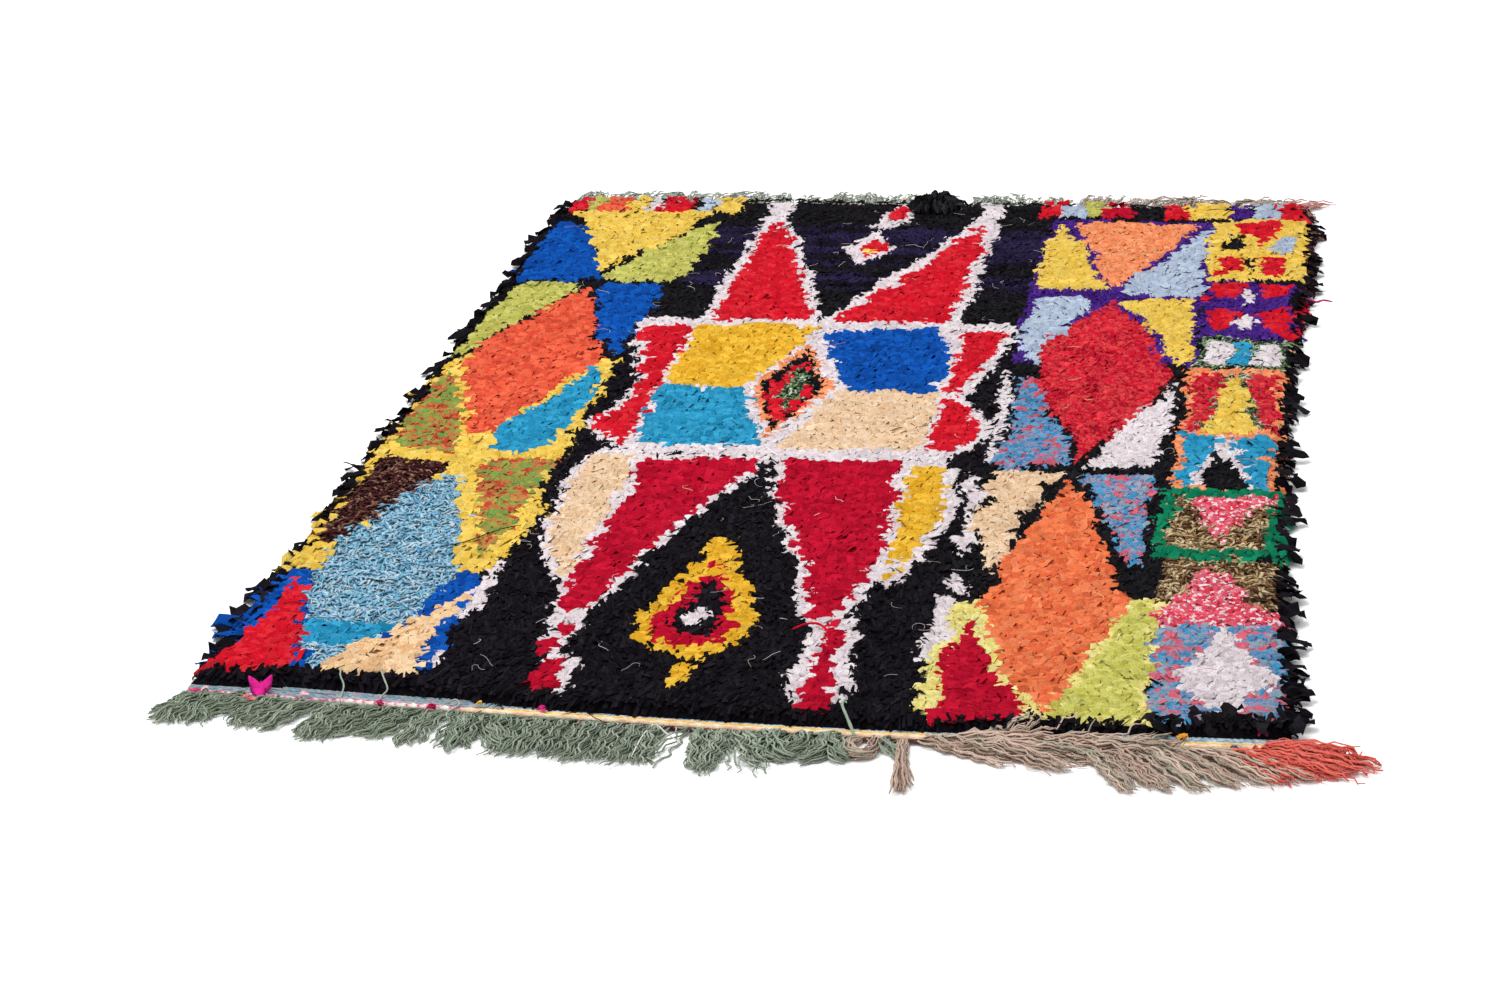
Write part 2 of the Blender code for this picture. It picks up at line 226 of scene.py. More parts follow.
LEFT_PANEL = (
    figure(Rag.YELLOW, (-710, 1010), (-420, 1030), (-455, 910), (-575, 640), (-645, 860)),
    figure(Rag.ROYAL, (-720, 950), (-660, 910), (-565, 600), (-720, 590), (-735, 850)),
    figure(Rag.LIME, (-405, 975), (-475, 850), (-555, 620), (-550, 595), (-430, 585), (-395, 750)),
    figure(Rag.LIME, (-715, 575), (-595, 570), (-620, 440), (-690, 300), (-710, 190), (-740, 220), (-740, 360),
           (-715, 470)),
    figure(Rag.ROYAL, (-555, 575), (-435, 575), (-430, 450), (-450, 360), (-440, 215), (-495, 300)),
    figure(Rag.YELLOW, (-710, 175), (-435, 175), (-430, -150), (-425, -250), (-430, -330), (-408, -500),
           (-420, -630), (-435, -735), (-735, -725), (-725, -450), (-750, -220), (-740, 50)),
    figure(Rag.CORAL, (-575, 550), (-505, 300), (-465, 170), (-520, 0), (-575, -185), (-600, -185), (-645, -20),
           (-695, 130), (-695, 260), (-620, 440)),
    figure(Rag.MOSS, (-715, 130), (-655, -40), (-600, -220), (-605, -270), (-720, -245), (-730, -60)),
    figure(Rag.TURQUOISE, (-465, 130), (-445, 70), (-450, -200), (-500, -270), (-545, -260), (-570, -160),
           (-525, -60)),
    figure(Rag.BARK, (-720, -290), (-600, -310), (-630, -490), (-700, -640), (-720, -620)),
    figure(Rag.MOSS, (-555, -290), (-430, -285), (-435, -570), (-455, -700), (-515, -450)),
    figure(Rag.ROYAL, (-735, -730), (-435, -740), (-432, -840), (-422, -930), (-430, -1045), (-560, -1040),
           (-760, -1075), (-755, -860)),
    figure(Rag.HEATHER, (-575, -330), (-620, -410), (-690, -630), (-690, -750), (-650, -920), (-590, -1060),
           (-570, -1060), (-520, -930), (-465, -750), (-500, -580)),
    figure(Rag.TURQUOISE, (-645, -900), (-510, -900), (-550, -960), (-580, -980), (-640, -960)),
    figure(Rag.RED, (-720, -755), (-700, -755), (-670, -850), (-650, -910), (-610, -1070), (-755, -1070),
           (-722, -940), (-695, -870)),
    figure(Rag.PEACH, (-440, -790), (-480, -870), (-535, -970), (-570, -1040), (-560, -1080), (-435, -1080),
           (-450, -960)),
    figure(Rag.WHITE, (-425, -655), (-405, -660), (-410, -730), (-430, -720)),
    figure(Rag.WHITE, (-430, -730), (-412, -740), (-405, -800), (-425, -880), (-435, -840)),
    figure(Rag.WHITE, (-435, -960), (-418, -980), (-415, -1040), (-435, -1030)),
)

STAR = (
    figure(Rag.NAVY, (-400, 940), (245, 940), (245, 700), (-400, 700)),
    figure(Rag.NAVY, (-400, 660), (245, 660), (245, 560), (-400, 560)),
    figure(Rag.RED, (-300, 985), (-250, 870), (-195, 650), (-125, 375), (-315, 375), (-300, 700), rim=22),
    box(Rag.WHITE, -315, -275, 1000, 1100),
    figure(Rag.RED, (110, 990), (125, 820), (115, 370), (-95, 375), (-40, 530), (45, 730), rim=26),
    box(Rag.WHITE, 100, 150, 1000, 1100),
    figure(Rag.WHITE, (-445, 400), (240, 400), (235, 330), (-445, 360)),
    figure(Rag.RED, (-430, 355), (-335, 355), (-330, -100), (-335, -220), (-405, -120), (-370, -20), (-365, 90),
           (-385, 150), (-370, 190), (-395, 220), rim=14),
    figure(Rag.RED, (155, 340), (200, 360), (225, 340), (190, 150), (165, 40), (215, -80), (220, -140),
           (195, -200), (150, -210), (150, 220), rim=22),
    figure(Rag.WHITE, (-335, 370), (150, 370), (160, -240), (-335, -240)),
    figure(Rag.GOLD, (-325, 365), (-115, 365), (-115, 280), (-195, 55), (-325, 55)),
    figure(Rag.ROYAL, (-95, 355), (90, 360), (125, 290), (145, 200), (130, 70), (-20, 60)),
    figure(Rag.TURQUOISE, (-325, 55), (-190, 55), (-115, -190), (-180, -225), (-320, -200)),
    figure(Rag.CREAM, (-45, 65), (140, 65), (150, -60), (140, -215), (-85, -215), (-45, -10)),
    lozenge(Rag.WHITE, (-110, 50), (85, 260)),
    lozenge(Rag.APRICOT, (-110, 60), (70, 220)),
    lozenge(Rag.SOOT, (-110, 60), (54, 190)),
    lozenge(Rag.RED, (-110, 40), (42, 150)),
    lozenge(Rag.PEPPER, (-108, 60), (30, 115)),
    figure(Rag.WHITE, (-350, -205), (200, -210), (200, -260), (-360, -270)),
    figure(Rag.CREAM, (-370, -250), (-305, -250), (-305, -720), (-325, -720), (-366, -590), (-386, -380),
           rim=13),
    figure(Rag.CRIMSON, (-295, -275), (-115, -265), (-120, -330), (-185, -500), (-225, -680), (-250, -800),
           (-285, -860), (-295, -800), (-285, -380), rim=15),
    figure(Rag.WHITE, (-300, -840), (-250, -830), (-250, -960), (-225, -1000), (-225, -1090), (-250, -1100),
           (-285, -980)),
    figure(Rag.CRIMSON, (-275, -880), (-263, -880), (-268, -970), (-280, -970)),
    figure(Rag.CRIMSON, (-270, -995), (-250, -995), (-238, -1060), (-243, -1110), (-287, -1070)),
    figure(Rag.GOLD, (125, -270), (185, -270), (210, -450), (185, -580), (160, -680), (150, -500), rim=22),
    figure(Rag.CRIMSON, (-70, -255), (115, -255), (135, -600), (100, -840), (75, -840), (40, -660), (-30, -450),
           rim=18),
    figure(Rag.WHITE, (70, -830), (140, -830), (145, -980), (160, -1030), (150, -1080), (80, -1090),
           (55, -1050), (75, -980)),
    figure(Rag.CRIMSON, (94, -830), (118, -830), (115, -950), (133, -1030), (128, -1120), (98, -1120),
           (88, -1050), (102, -950)),
    box(Rag.SOOT, -400, -105, -250, -250),
    figure(Rag.GOLD, (-112, -530), (-93, -580), (-45, -720), (-10, -840), (-18, -900), (-78, -975),
           (-163, -915), (-174, -870), (-135, -710)),
    figure(Rag.CRIMSON, (-100, -655), (-57, -760), (-37, -870), (-55, -925), (-95, -945), (-155, -895),
           (-133, -780)),
    figure(Rag.BLACK, (-90, -700), (-62, -770), (-55, -870), (-75, -905), (-115, -905), (-127, -840)),
    figure(Rag.WHITE, (-100, -810), (-80, -810), (-70, -840), (-80, -870), (-102, -870), (-112, -840)),
    lozenge(Rag.GOLD, (-80, -1030), (17, 48)),
    figure(Rag.WHITE, (-105, 940), (-60, 930), (-30, 1020), (-35, 1100), (-65, 1100), (-85, 1030)),
    figure(Rag.RED, (-62, 1090), (-45, 1060), (-52, 1000), (-75, 1020)),
    lozenge(Rag.WHITE, (-85, 810), (48, 105)),
    lozenge(Rag.RED, (-80, 815), (20, 55)),
    lozenge(Rag.YELLOW, (-80, 800), (10, 14)),
)

RIGHT_PANEL = (
    box(Rag.PLUM, 245, 557, 200, 995),
    figure(Rag.YELLOW, (265, 990), (315, 850), (375, 570), (260, 580), (250, 660), (250, 850)),
    figure(Rag.APRICOT, (285, 985), (530, 985), (470, 800), (400, 610), (375, 610), (320, 850)),
    figure(Rag.SKY, (545, 960), (545, 560), (405, 570), (415, 640), (500, 820)),
    figure(Rag.SKY, (265, 540), (355, 540), (320, 340), (285, 210), (250, 300)),
    figure(Rag.YELLOW, (405, 540), (540, 545), (545, 250), (530, 200), (440, 470)),
    box(Rag.SOOT, 245, 550, -740, 200),
    figure(Rag.SCARLET, (390, 540), (450, 400), (515, 180), (510, 80), (430, -120), (395, -240), (380, -140),
           (300, 70), (285, 270), (340, 420)),
    figure(Rag.CORNFLOWER, (270, 150), (300, 120), (325, -30), (370, -130), (385, -240), (300, -270),
           (260, -255), (275, -120)),
    figure(Rag.WHITE, (525, 120), (525, -50), (510, -250), (410, -250), (440, -100)),
    figure(Rag.CREAM, (275, -280), (375, -280), (340, -400), (335, -500), (290, -700), (290, -580),
           (250, -480)),
    box(Rag.SOOT, 315, 345, -470, -430),
    box(Rag.SOOT, 345, 375, -355, -325),
    box(Rag.SOOT, 255, 275, -420, -385),
    figure(Rag.DAPPLE, (405, -280), (515, -270), (515, -620), (495, -630), (450, -460)),
    figure(Rag.STRAW, (260, -750), (550, -730), (550, -1100), (246, -1100), (246, -930)),
    figure(Rag.ORANGE, (390, -310), (430, -420), (475, -660), (505, -740), (455, -950), (420, -1090),
           (360, -990), (300, -750), (325, -560)),
    figure(Rag.CRIMSON, (288, -820), (325, -920), (385, -1070), (370, -1130), (278, -1130), (274, -950)),
    figure(Rag.WHITE, (235, -740), (262, -740), (262, -880), (240, -940)),
    figure(Rag.ACID, (525, -740), (543, -800), (535, -1090), (430, -1100), (465, -940)),
    figure(Rag.WHITE, (240, 160), (260, 20), (265, -100), (250, -260), (245, -50)),
    figure(Rag.WHITE, (225, -280), (260, -360), (250, -440), (265, -550), (245, -600), (250, -500),
           (235, -400)),
    figure(Rag.WHITE, (250, -640), (265, -680), (280, -740), (240, -720)),
)

COLUMN = (
    box(Rag.YELLOW, 555, 725, 650, 1010),
    figure(Rag.RED, (600, 1000), (680, 1010), (675, 930), (645, 860), (620, 940)),
    box(Rag.SOOT, 590, 610, 880, 930),
    box(Rag.SOOT, 580, 615, 830, 865),
    figure(Rag.SKY, (705, 930), (715, 890), (690, 820), (655, 830)),
    box(Rag.RED, 575, 612, 680, 790),
    box(Rag.RED, 652, 690, 680, 790),
    box(Rag.SOOT, 625, 640, 700, 790),
    box(Rag.PLUM, 555, 712, 345, 645),
    figure(Rag.RED, (568, 636), (622, 632), (605, 565), (568, 550)),
    figure(Rag.RED, (568, 505), (620, 480), (600, 410), (575, 364)),
    figure(Rag.RED, (652, 632), (702, 636), (702, 550), (666, 565)),
    figure(Rag.RED, (650, 480), (702, 505), (702, 364), (672, 400)),
    lozenge(Rag.WHITE, (632, 573), (22, 48)),
    lozenge(Rag.WHITE, (634, 427), (24, 50)),
    box(Rag.PEPPER, 555, 710, 195, 345),
    box(Rag.WHITE, 572, 607, 225, 325),
    box(Rag.WHITE, 655, 692, 225, 325),
    box(Rag.TURQUOISE, 621, 643, 220, 325),
    box(Rag.APRICOT, 542, 705, -335, 195),
    box(Rag.SCARLET, 553, 695, -75, 175),
    figure(Rag.PEPPER, (605, 175), (645, 175), (675, -75), (570, -75)),
    figure(Rag.YELLOW, (617, 160), (633, 160), (660, -90), (580, -90)),
    box(Rag.TURQUOISE, 556, 684, -315, -105),
    figure(Rag.WHITE, (600, -100), (625, -100), (662, -315), (568, -315)),
    figure(Rag.SOOT, (605, -165), (620, -190), (650, -320), (587, -320), (590, -240)),
    box(Rag.GREEN, 532, 712, -575, -325),
    box(Rag.DUN, 542, 694, -550, -350),
    figure(Rag.POLKA, (565, -355), (690, -355), (640, -450), (620, -530), (605, -450)),
    box(Rag.DUN, 548, 710, -800, -575),
    figure(Rag.POLKA, (610, -600), (650, -690), (672, -740), (725, -770), (725, -820), (540, -820), (545, -765),
           (585, -710)),
    box(Rag.DAPPLE, 548, 725, -1095, -810),
    figure(Rag.WHITE, (640, -815), (672, -880), (718, -955), (650, -1085), (584, -965), (612, -880)),
)


class Chart:
    """The design: it says which rag each knot is tied with."""

    ragged = 0.006
    ragged_step = 0.050
    tooth = 0.0090
    tooth_step = 0.040
    row = 0.0240
    far_border = (1015, 1160)  # from and to, in millimetres
    left_border = 0.008
    left_border_from = -0.76
    near_border = ((-0.74, -0.60, -0.44, 0.0, 0.34, 0.42, 0.50, 0.56, 0.64, 0.74),
                   (0.030, 0.037, 0.034, 0.025, 0.018, 0.026, 0.024, 0.014, 0.024, 0.020))

    def __init__(self, outline: "Outline") -> None:
        """Lists the figures in the order in which they cover each other."""
        self.outline = outline
        far = [box(rag, left, right, *self.far_border) for rag, left, right in FAR_BORDER]
        self.figures = [
            box(Rag.SOOT, -800, 800, 400, 1300),
            *LEFT_PANEL,
            *STAR,
            *RIGHT_PANEL,
            *COLUMN,
            *far,
        ]

    def rags_at(self, x: np.ndarray, y: np.ndarray) -> np.ndarray:
        """The rag at each place; the figures' edges step from row to row of knots.

        Args:
            x: places across the rug.
            y: places along the rug.

        Returns:
            Each rag's place in the list of rags.
        """
        names = list(Rag)
        found = np.full(x.shape, names.index(Rag.BLACK))
        row = np.round((y + 0.004 * wander(x, y, 0.12, 6)) / self.row)
        x_seen = x + self.tooth * wander(x, row * self.tooth_step * 3.7, self.tooth_step, 7)
        y_seen = 0.6 * y + 0.4 * row * self.row + 0.6 * self.tooth * wander(x, row * 0.3, 0.024, 8)
        edge = self.ragged * wander(x, y, self.ragged_step, 5)
        for shape in self.figures:
            reach = shape.reach(x_seen, y_seen) + edge
            if shape.rim:
                found[reach < shape.rim] = names.index(Rag.WHITE)
            found[reach < 0] = names.index(shape.rag)
        selvedge = (x < self.outline.left(y) + self.left_border + edge) & (y > self.left_border_from)
        found[selvedge] = names.index(Rag.BLACK)
        border = np.interp(x, *self.near_border) + 0.6 * edge
        found[y < self.outline.near(x) + border] = names.index(Rag.BLACK)
        return found


NEAR_FOOT = ((-0.76, -0.60, -0.47, -0.37, -0.22, 0.02, 0.18, 0.40, 0.56, 0.76),
             (-1.081, -1.080, -1.087, -1.098, -1.117, -1.126, -1.131, -1.126, -1.115, -1.099))
NEAR_END = ((-0.76, -0.64, -0.52, -0.40, -0.21, 0.02, 0.20, 0.40, 0.60, 0.76),
            (-1.107, -1.114, -1.123, -1.129, -1.139, -1.149, -1.153, -1.150, -1.143, -1.139))


@dataclass(frozen=True)
class Outline:
    """Where the rug's cloth and pile run, in metres: the frame's outline, with the near end's own unevenness."""

    half_width: float = 0.738
    waist_in: float = 0.030
    waist_at: float = -0.20
    waist_reach: float = 0.90
    far_foot: float = 1.112
    far_band: float = 0.018
    corner_out: float = 0.014
    corner_from: float = -1.01
    corner_reach: float = 0.08

    def left(self, y: np.ndarray) -> np.ndarray:
        """The left side of the pile, which turns out at the near corner."""
        return -self.half_width - self.corner_out * np.clip((self.corner_from - y) / self.corner_reach, 0, 1)

    def right(self, y: np.ndarray) -> np.ndarray:
        """The right side of the pile, which draws in at mid-length."""
        along = (y - self.waist_at) / self.waist_reach
        return self.half_width - self.waist_in * np.maximum(0, 1 - along * along)

    def near(self, x: np.ndarray) -> np.ndarray:
        """Where the pile ends at the near end, which bows out."""
        return np.interp(x, *NEAR_FOOT)

    def far(self, x: np.ndarray) -> np.ndarray:
        """The foot of the pile at the far end."""
        return np.full(np.shape(x), self.far_foot)

    def near_end(self, x: np.ndarray) -> np.ndarray:
        """The outer edge of the near band."""
        return np.interp(x, *NEAR_END)

    def far_end(self, x: np.ndarray) -> np.ndarray:
        """The outer edge of the far band."""
        return self.far(x) + self.far_band


def add_node(tree: bpy.types.NodeTree, kind: str, links: dict | None = None, **values: object) -> bpy.types.Node:
    """Adds one node to a material.

    Args:
        tree: the material's nodes.
        kind: the node's Blender type.
        links: for each input by name or number, the output that feeds it.
        values: settings of the node, or of an input where the name starts with "in_".

    Returns:
        The new node.
    """
    node = tree.nodes.new(kind)
    for name, value in values.items():
        if name.startswith("in_"):
            node.inputs[name[3:].replace("_", " ")].default_value = value
        else:
            setattr(node, name, value)
    for name, output in (links or {}).items():
        tree.links.new(output, node.inputs[name])
    return node


def new_material(name: str) -> tuple[bpy.types.Material, bpy.types.NodeTree, bpy.types.Node]:
    """Makes an empty material with its shader.

    Args:
        name: the material's name.

    Returns:
        The material, its nodes and its Principled shader.
    """
    material = bpy.data.materials.new(name)
    material.use_nodes = True
    tree = material.node_tree
    return material, tree, tree.nodes["Principled BSDF"]


@dataclass(frozen=True)
class RagFinish:
    """Cut cotton and jersey rag: matt, a little fuzzy, crumpled, with its threads just showing."""

    name: str
    roughness: float = 0.92
    sheen: float = 0.0
    crumple: float = 7.0 * MM
    thread: float = 2.2 * MM  # real threads are 0.8 mm apart, drawn coarser so that they show
    fleck: float = 0.35
    share: float = 0.50
    crisp: float = 0.12

    def material(self) -> bpy.types.Material:
        """Builds the finish from the tufts' own dye colours."""
        material, tree, shader = new_material(self.name)
        place = add_node(tree, "ShaderNodeTexCoord").outputs["Object"]
        dye = add_node(tree, "ShaderNodeAttribute", attribute_name="dye").outputs["Color"]
        fleck = add_node(tree, "ShaderNodeAttribute", attribute_name="fleck").outputs["Color"]
        patches = add_node(tree, "ShaderNodeTexNoise", {"Vector": place}, in_Scale=1 / self.crumple, in_Detail=3.0)
        mask = add_node(
            tree, "ShaderNodeMapRange", {"Value": patches.outputs["Fac"]}, interpolation_type="SMOOTHSTEP",
            in_From_Min=self.share, in_From_Max=self.share + self.crisp, in_To_Max=self.fleck,
        )
        mixed = add_node(tree, "ShaderNodeMix", {"Factor": mask.outputs["Result"]}, data_type="RGBA")
        tree.links.new(dye, mixed.inputs["A"])
        tree.links.new(fleck, mixed.inputs["B"])
        threads = add_node(tree, "ShaderNodeTexNoise", {"Vector": place}, in_Scale=1 / self.thread, in_Detail=2.0)
        # thread tone: uneven colour from thread to thread, with painted shade where the thread bump is low and
        # painted light where it is high
        tone = add_node(
            tree, "ShaderNodeMapRange", {"Value": threads.outputs["Fac"]},
            in_From_Min=0.30, in_From_Max=0.70, in_To_Min=0.80, in_To_Max=1.16,
        )
        shade = add_node(
            tree, "ShaderNodeVectorMath", {0: mixed.outputs["Result"], 1: tone.outputs["Result"]},
            operation="MULTIPLY",
        )
        tree.links.new(shade.outputs["Vector"], shader.inputs["Base Color"])
        low = add_node(
            tree, "ShaderNodeBump", {"Height": patches.outputs["Fac"]}, in_Strength=0.8, in_Distance=2.2 * MM
        )
        fine = add_node(
            tree, "ShaderNodeBump", {"Height": threads.outputs["Fac"], "Normal": low.outputs["Normal"]},
            in_Strength=0.6, in_Distance=0.5 * MM,
        )
        tree.links.new(fine.outputs["Normal"], shader.inputs["Normal"])
        shader.inputs["Roughness"].default_value = self.roughness
        shader.inputs["Specular IOR Level"].default_value = 0.03
        shader.inputs["Sheen Weight"].default_value = self.sheen
        shader.inputs["Sheen Roughness"].default_value = 0.6
        return material


class Strands:
    """Many strips or yarns as one joined mesh, each a closed tube of a few flat rings."""

    def __init__(self, rings: np.ndarray, dyes: np.ndarray, flecks: np.ndarray, smooth: bool = True) -> None:
        """Keeps the rings and colours, with every strand's faces turned outwards.

        Args:
            rings: the points, by strand, ring, side and axis.
            dyes: each strand's main colour, or that of each of its points, linear RGB.
            flecks: the same for the second colour.
            smooth: whether the faces are shaded smooth.
        """
        shifted = rings - rings[:, :1, :1]
        low, high = shifted[:, :-1], shifted[:, 1:]
        across = np.cross(low, np.roll(low, -1, 2))
        around = np.cross(np.roll(low, -1, 2), np.roll(high, -1, 2))
        volume = (across * high).sum((1, 2, 3)) + (around * high).sum((1, 2, 3))
        inward = (volume < 0)[:, None, None, None]
        self.rings, self.dyes, self.flecks = (
            np.where(inward, values[:, :, ::-1], values) if values.ndim == 4 else values
            for values in (rings, dyes, flecks)
        )
        self.smooth = smooth

    def piece(self, name: str, material: bpy.types.Material, **stands_for: str) -> bpy.types.Object:
        """Joins the strands to one object.

        Args:
            name: the piece's name.
            material: its finish.
            stands_for: the node and the slot, where they aren't the pile's.

        Returns:
            The new object, riding on the rug.
        """
        count, stations, sides, _ = self.rings.shape
        first = (np.arange(count) * stations * sides)[:, None, None]
        ring = (np.arange(stations - 1) * sides)[None, :, None]
        side = np.arange(sides)[None, None, :]
        after = (side + 1) % sides
        low, high = first + ring, first + ring + sides
        quads = np.stack([low + side, low + after, high + after, high + side], -1).reshape(-1, 4)
        start = first[:, 0] + side[0, :, ::-1]
        end = first[:, 0] + (stations - 1) * sides + side[0]
        caps = np.concatenate([start, end])
        corners = np.concatenate([quads.ravel(), caps.ravel()])
        sizes = np.concatenate([np.full(len(quads), 4), np.full(len(caps), sides)])
        mesh = bpy.data.meshes.new(name)
        mesh.vertices.add(self.rings.size // 3)
        mesh.vertices.foreach_set("co", self.rings.astype(np.float32).ravel())
        mesh.loops.add(len(corners))
        mesh.loops.foreach_set("vertex_index", corners.astype(np.int32))
        mesh.polygons.add(len(sizes))
        mesh.polygons.foreach_set("loop_start", (np.cumsum(sizes) - sizes).astype(np.int32))
        mesh.update(calc_edges=True)
        mesh.polygons.foreach_set("use_smooth", np.full(len(sizes), self.smooth))
        paint(mesh, *(
            np.repeat(colours, stations * sides, 0) if colours.ndim == 2 else colours
            for colours in (self.dyes, self.flecks)
        ))
        mesh.materials.append(material)
        return add_piece(name, mesh, **stands_for)


def finished(bm: bmesh.types.BMesh, name: str, material: bpy.types.Material) -> bpy.types.Mesh:
    """Turns a bmesh to a mesh with its finish."""
    mesh = bpy.data.meshes.new(name)
    bm.to_mesh(mesh)
    bm.free()
    mesh.materials.append(material)
    return mesh


def paint(mesh: bpy.types.Mesh, dyes: np.ndarray, flecks: np.ndarray) -> None:
    """Gives each point of a mesh its dye and its fleck, linear RGB."""
    for label, colours in (("dye", dyes), ("fleck", flecks)):
        full = np.ones((len(mesh.vertices), 4), np.float32)
        full[:, :3] = colours.reshape(-1, 3)
        mesh.attributes.new(label, "FLOAT_COLOR", "POINT").data.foreach_set("color", full.ravel())


def add_piece(name: str, mesh: bpy.types.Mesh, node: str = "rug_body", slot: str = "rag_pile") -> bpy.types.Object:
    """Puts a mesh in the scene as a piece that rides on the rug.

    Args:
        name: the piece's name.
        mesh: its mesh.
        node: the frame's solid that it stands for.
        slot: the record's material slot; not used.

    Returns:
        The new object.
    """
    piece = bpy.data.objects.new(name, mesh)
    bpy.context.scene.collection.objects.link(piece)
    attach(piece, BODY)
    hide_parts(node)
    LOG.info("%s: %d faces", name, len(mesh.polygons))
    return piece


@dataclass
class Pile:
    """The rag pile, tuft by tuft."""

    outline: Outline
    chart: Chart
    inset: float = 0.006
    near_inset: float = 0.011
    rim: float = 0.024
    bed: float = 0.0180
    bed_at_rim: float = 0.0060
    far_high: float = 0.013
    row_pitch: float = 0.026
    row_wave: float = 0.0008
    broad_lumps: float = 0.0024
    small_lumps: float = 0.0022
    thick: float = 0.0007
    clear: float = 0.0008
    swirl: float = 30.0
    out_at_sides: float = 2.4
    out_at_far_end: float = 2.6
    short_at_near_end: float = 0.38
    uneven: float = 0.16
    jag: float = 0.0016
    painted_tuft_shading: tuple[float, float, float] = (0.93, 1.0, 1.04)  # painted shading along each tuft: darker at the knot, where other tufts shade it, lighter at the tip
    most: int = 14000
    seed: int = 11

    def bed_at(self, x: np.ndarray, y: np.ndarray) -> np.ndarray:
        """The height of the rows of knots, which the tufts rise from."""
        drop = np.clip(1 - self.edge_at(x, y, self.far_high) / self.rim, 0, 1) ** 1.5
        waves = self.row_wave * np.sin(2 * np.pi * y / self.row_pitch + 1.5 * wander(x, y, 0.15, 41))
        lumps = self.broad_lumps * wander(x, y, 0.11, 2) + self.small_lumps * wander(x, y, 0.034, 3)
        return self.bed - (self.bed - self.bed_at_rim) * drop + (waves + lumps) * (1 - 0.7 * drop)

    def edge_at(self, x: np.ndarray, y: np.ndarray, far_out: float = 0.0) -> np.ndarray:
        """How far each place lies inside the foot of the pile, with the far foot moved out by that much."""
        return np.minimum.reduce([
            x - self.outline.left(y), self.outline.right(y) - x, y - self.outline.near(x),
            self.outline.far(x) + far_out - y,
        ])

    def roots(self, pitch: float, rng: np.random.Generator) -> tuple[np.ndarray, np.ndarray]:
        """The knots' places, on uneven rows."""
        columns = np.arange(-0.78, 0.78, pitch)
        rows = np.arange(-1.14, 1.14, pitch)
        x, y = (grid.ravel() for grid in np.meshgrid(columns, rows))
        x = x + rng.uniform(-0.5, 0.5, x.shape) * pitch
        y = y + rng.uniform(-0.5, 0.5, y.shape) * pitch
        inside = (self.edge_at(x, y) > self.inset) & (y > self.outline.near(x) + self.near_inset)
        return x[inside], y[inside]

    def headings(self, x: np.ndarray, y: np.ndarray, rng: np.random.Generator) -> np.ndarray:
        """Which way each tuft lies: to the near end, and outwards along the rim."""
        swirl = np.radians(self.swirl) * wander(x, y, 0.09, 21) + rng.normal(0, 1, x.shape) * np.radians(10)
        aim_x, aim_y = np.sin(swirl), -np.cos(swirl)
        to_left = np.clip(1 - (x - self.outline.left(y)) / self.rim, 0, 1)
        to_right = np.clip(1 - (self.outline.right(y) - x) / self.rim, 0, 1)
        to_far = np.clip(1 - (self.outline.far(x) - y) / self.rim, 0, 1)
        aim_x += self.out_at_sides * (to_right - to_left)
        aim_y += self.out_at_far_end * to_far
        return np.arctan2(aim_y, aim_x)

    def leaves(self, x: np.ndarray, y: np.ndarray, stance: Stance, rng: np.random.Generator) -> tuple:
        """Shapes the tufts of one cut, each a thin three-sided leaf from its knot to its frayed tip.

        Args:
            x: the knots' places across the rug.
            y: their places along the rug.
            stance: how the tufts are cut and laid.
            rng: where the chances come from.

        Returns:
            The leaves' rings, and the place of each one's visible middle.
        """
        count = len(x)
        heading = self.headings(x, y, rng)
        middle = x + 0.5 * stance.length * np.cos(heading), y + 0.5 * stance.length * np.sin(heading)
        heading = heading + np.radians(stance.spread) * rng.normal(0, 0.7, count)
        length = stance.length * rng.uniform(0.75, 1.25, count)
        length = length * (1 - self.short_at_near_end * np.clip(1 - (y - self.outline.near(x)) / self.rim, 0, 1))
        width = stance.width * rng.uniform(0.70, 1.25, count)
        drop = np.clip(1 - self.edge_at(x, y, self.far_high) / self.rim, 0, 1)
        bed = self.bed_at(x, y)
        steps = np.linspace(0, 1, stance.stations)
        along = steps[None] * length[:, None]
        along = along + rng.normal(0, 0.0012, along.shape) * (steps > 0)
        arch = np.interp(steps, (0, 0.5, 0.75, 1), (0.10, 1.0, 0.85, 0))
        hump = arch if stance.stations > 2 else np.array([0.9, 0.35])
        high = bed[:, None] + hump[None] * (stance.rise * rng.uniform(0.75, 1.2, count))[:, None]
        high = high + (steps**2)[None] * (stance.droop * rng.normal(0.1, 0.8, count))[:, None]
        high = high - (steps**2)[None] * (drop * (bed + 0.004))[:, None]
        high = high + rng.normal(0, 0.0005, high.shape)
        sway = rng.normal(0, self.uneven, count)[:, None] * (steps**1.6)[None] * length[:, None]
        body = np.interp(steps, (0, 0.35, 0.75, 1), (0.60, 1.0, 1.0, stance.tip))
        half = width[:, None] / 2 * body[None] * rng.uniform(0.72, 1.18, (count, stance.stations))
        twist = rng.normal(0, self.uneven, count)[:, None] + rng.normal(0, 0.10, half.shape)
        crown = stance.fold * rng.normal(0.8, 0.7, (count, 1)) + rng.normal(0, 0.0004, half.shape)
        crown = np.where(np.abs(crown) < self.thick, self.thick, crown)
        skew = rng.uniform(-0.45, 0.45, (count, 1)) * half
        jag = rng.normal(0, self.jag, (3, count, stance.stations))
        points = []
        for across, lift, shift in ((-half, 0 * half, jag[0]), (skew, crown, jag[1]), (half, 0 * half, jag[2])):
            turned = across * np.cos(twist) - lift * np.sin(twist)
            raised = across * np.sin(twist) + lift * np.cos(twist)
            points.append(np.stack([along + shift, sway + turned, high + raised], -1))
        local = np.stack(points, 2)
        cos, sin = np.cos(heading)[:, None, None], np.sin(heading)[:, None, None]
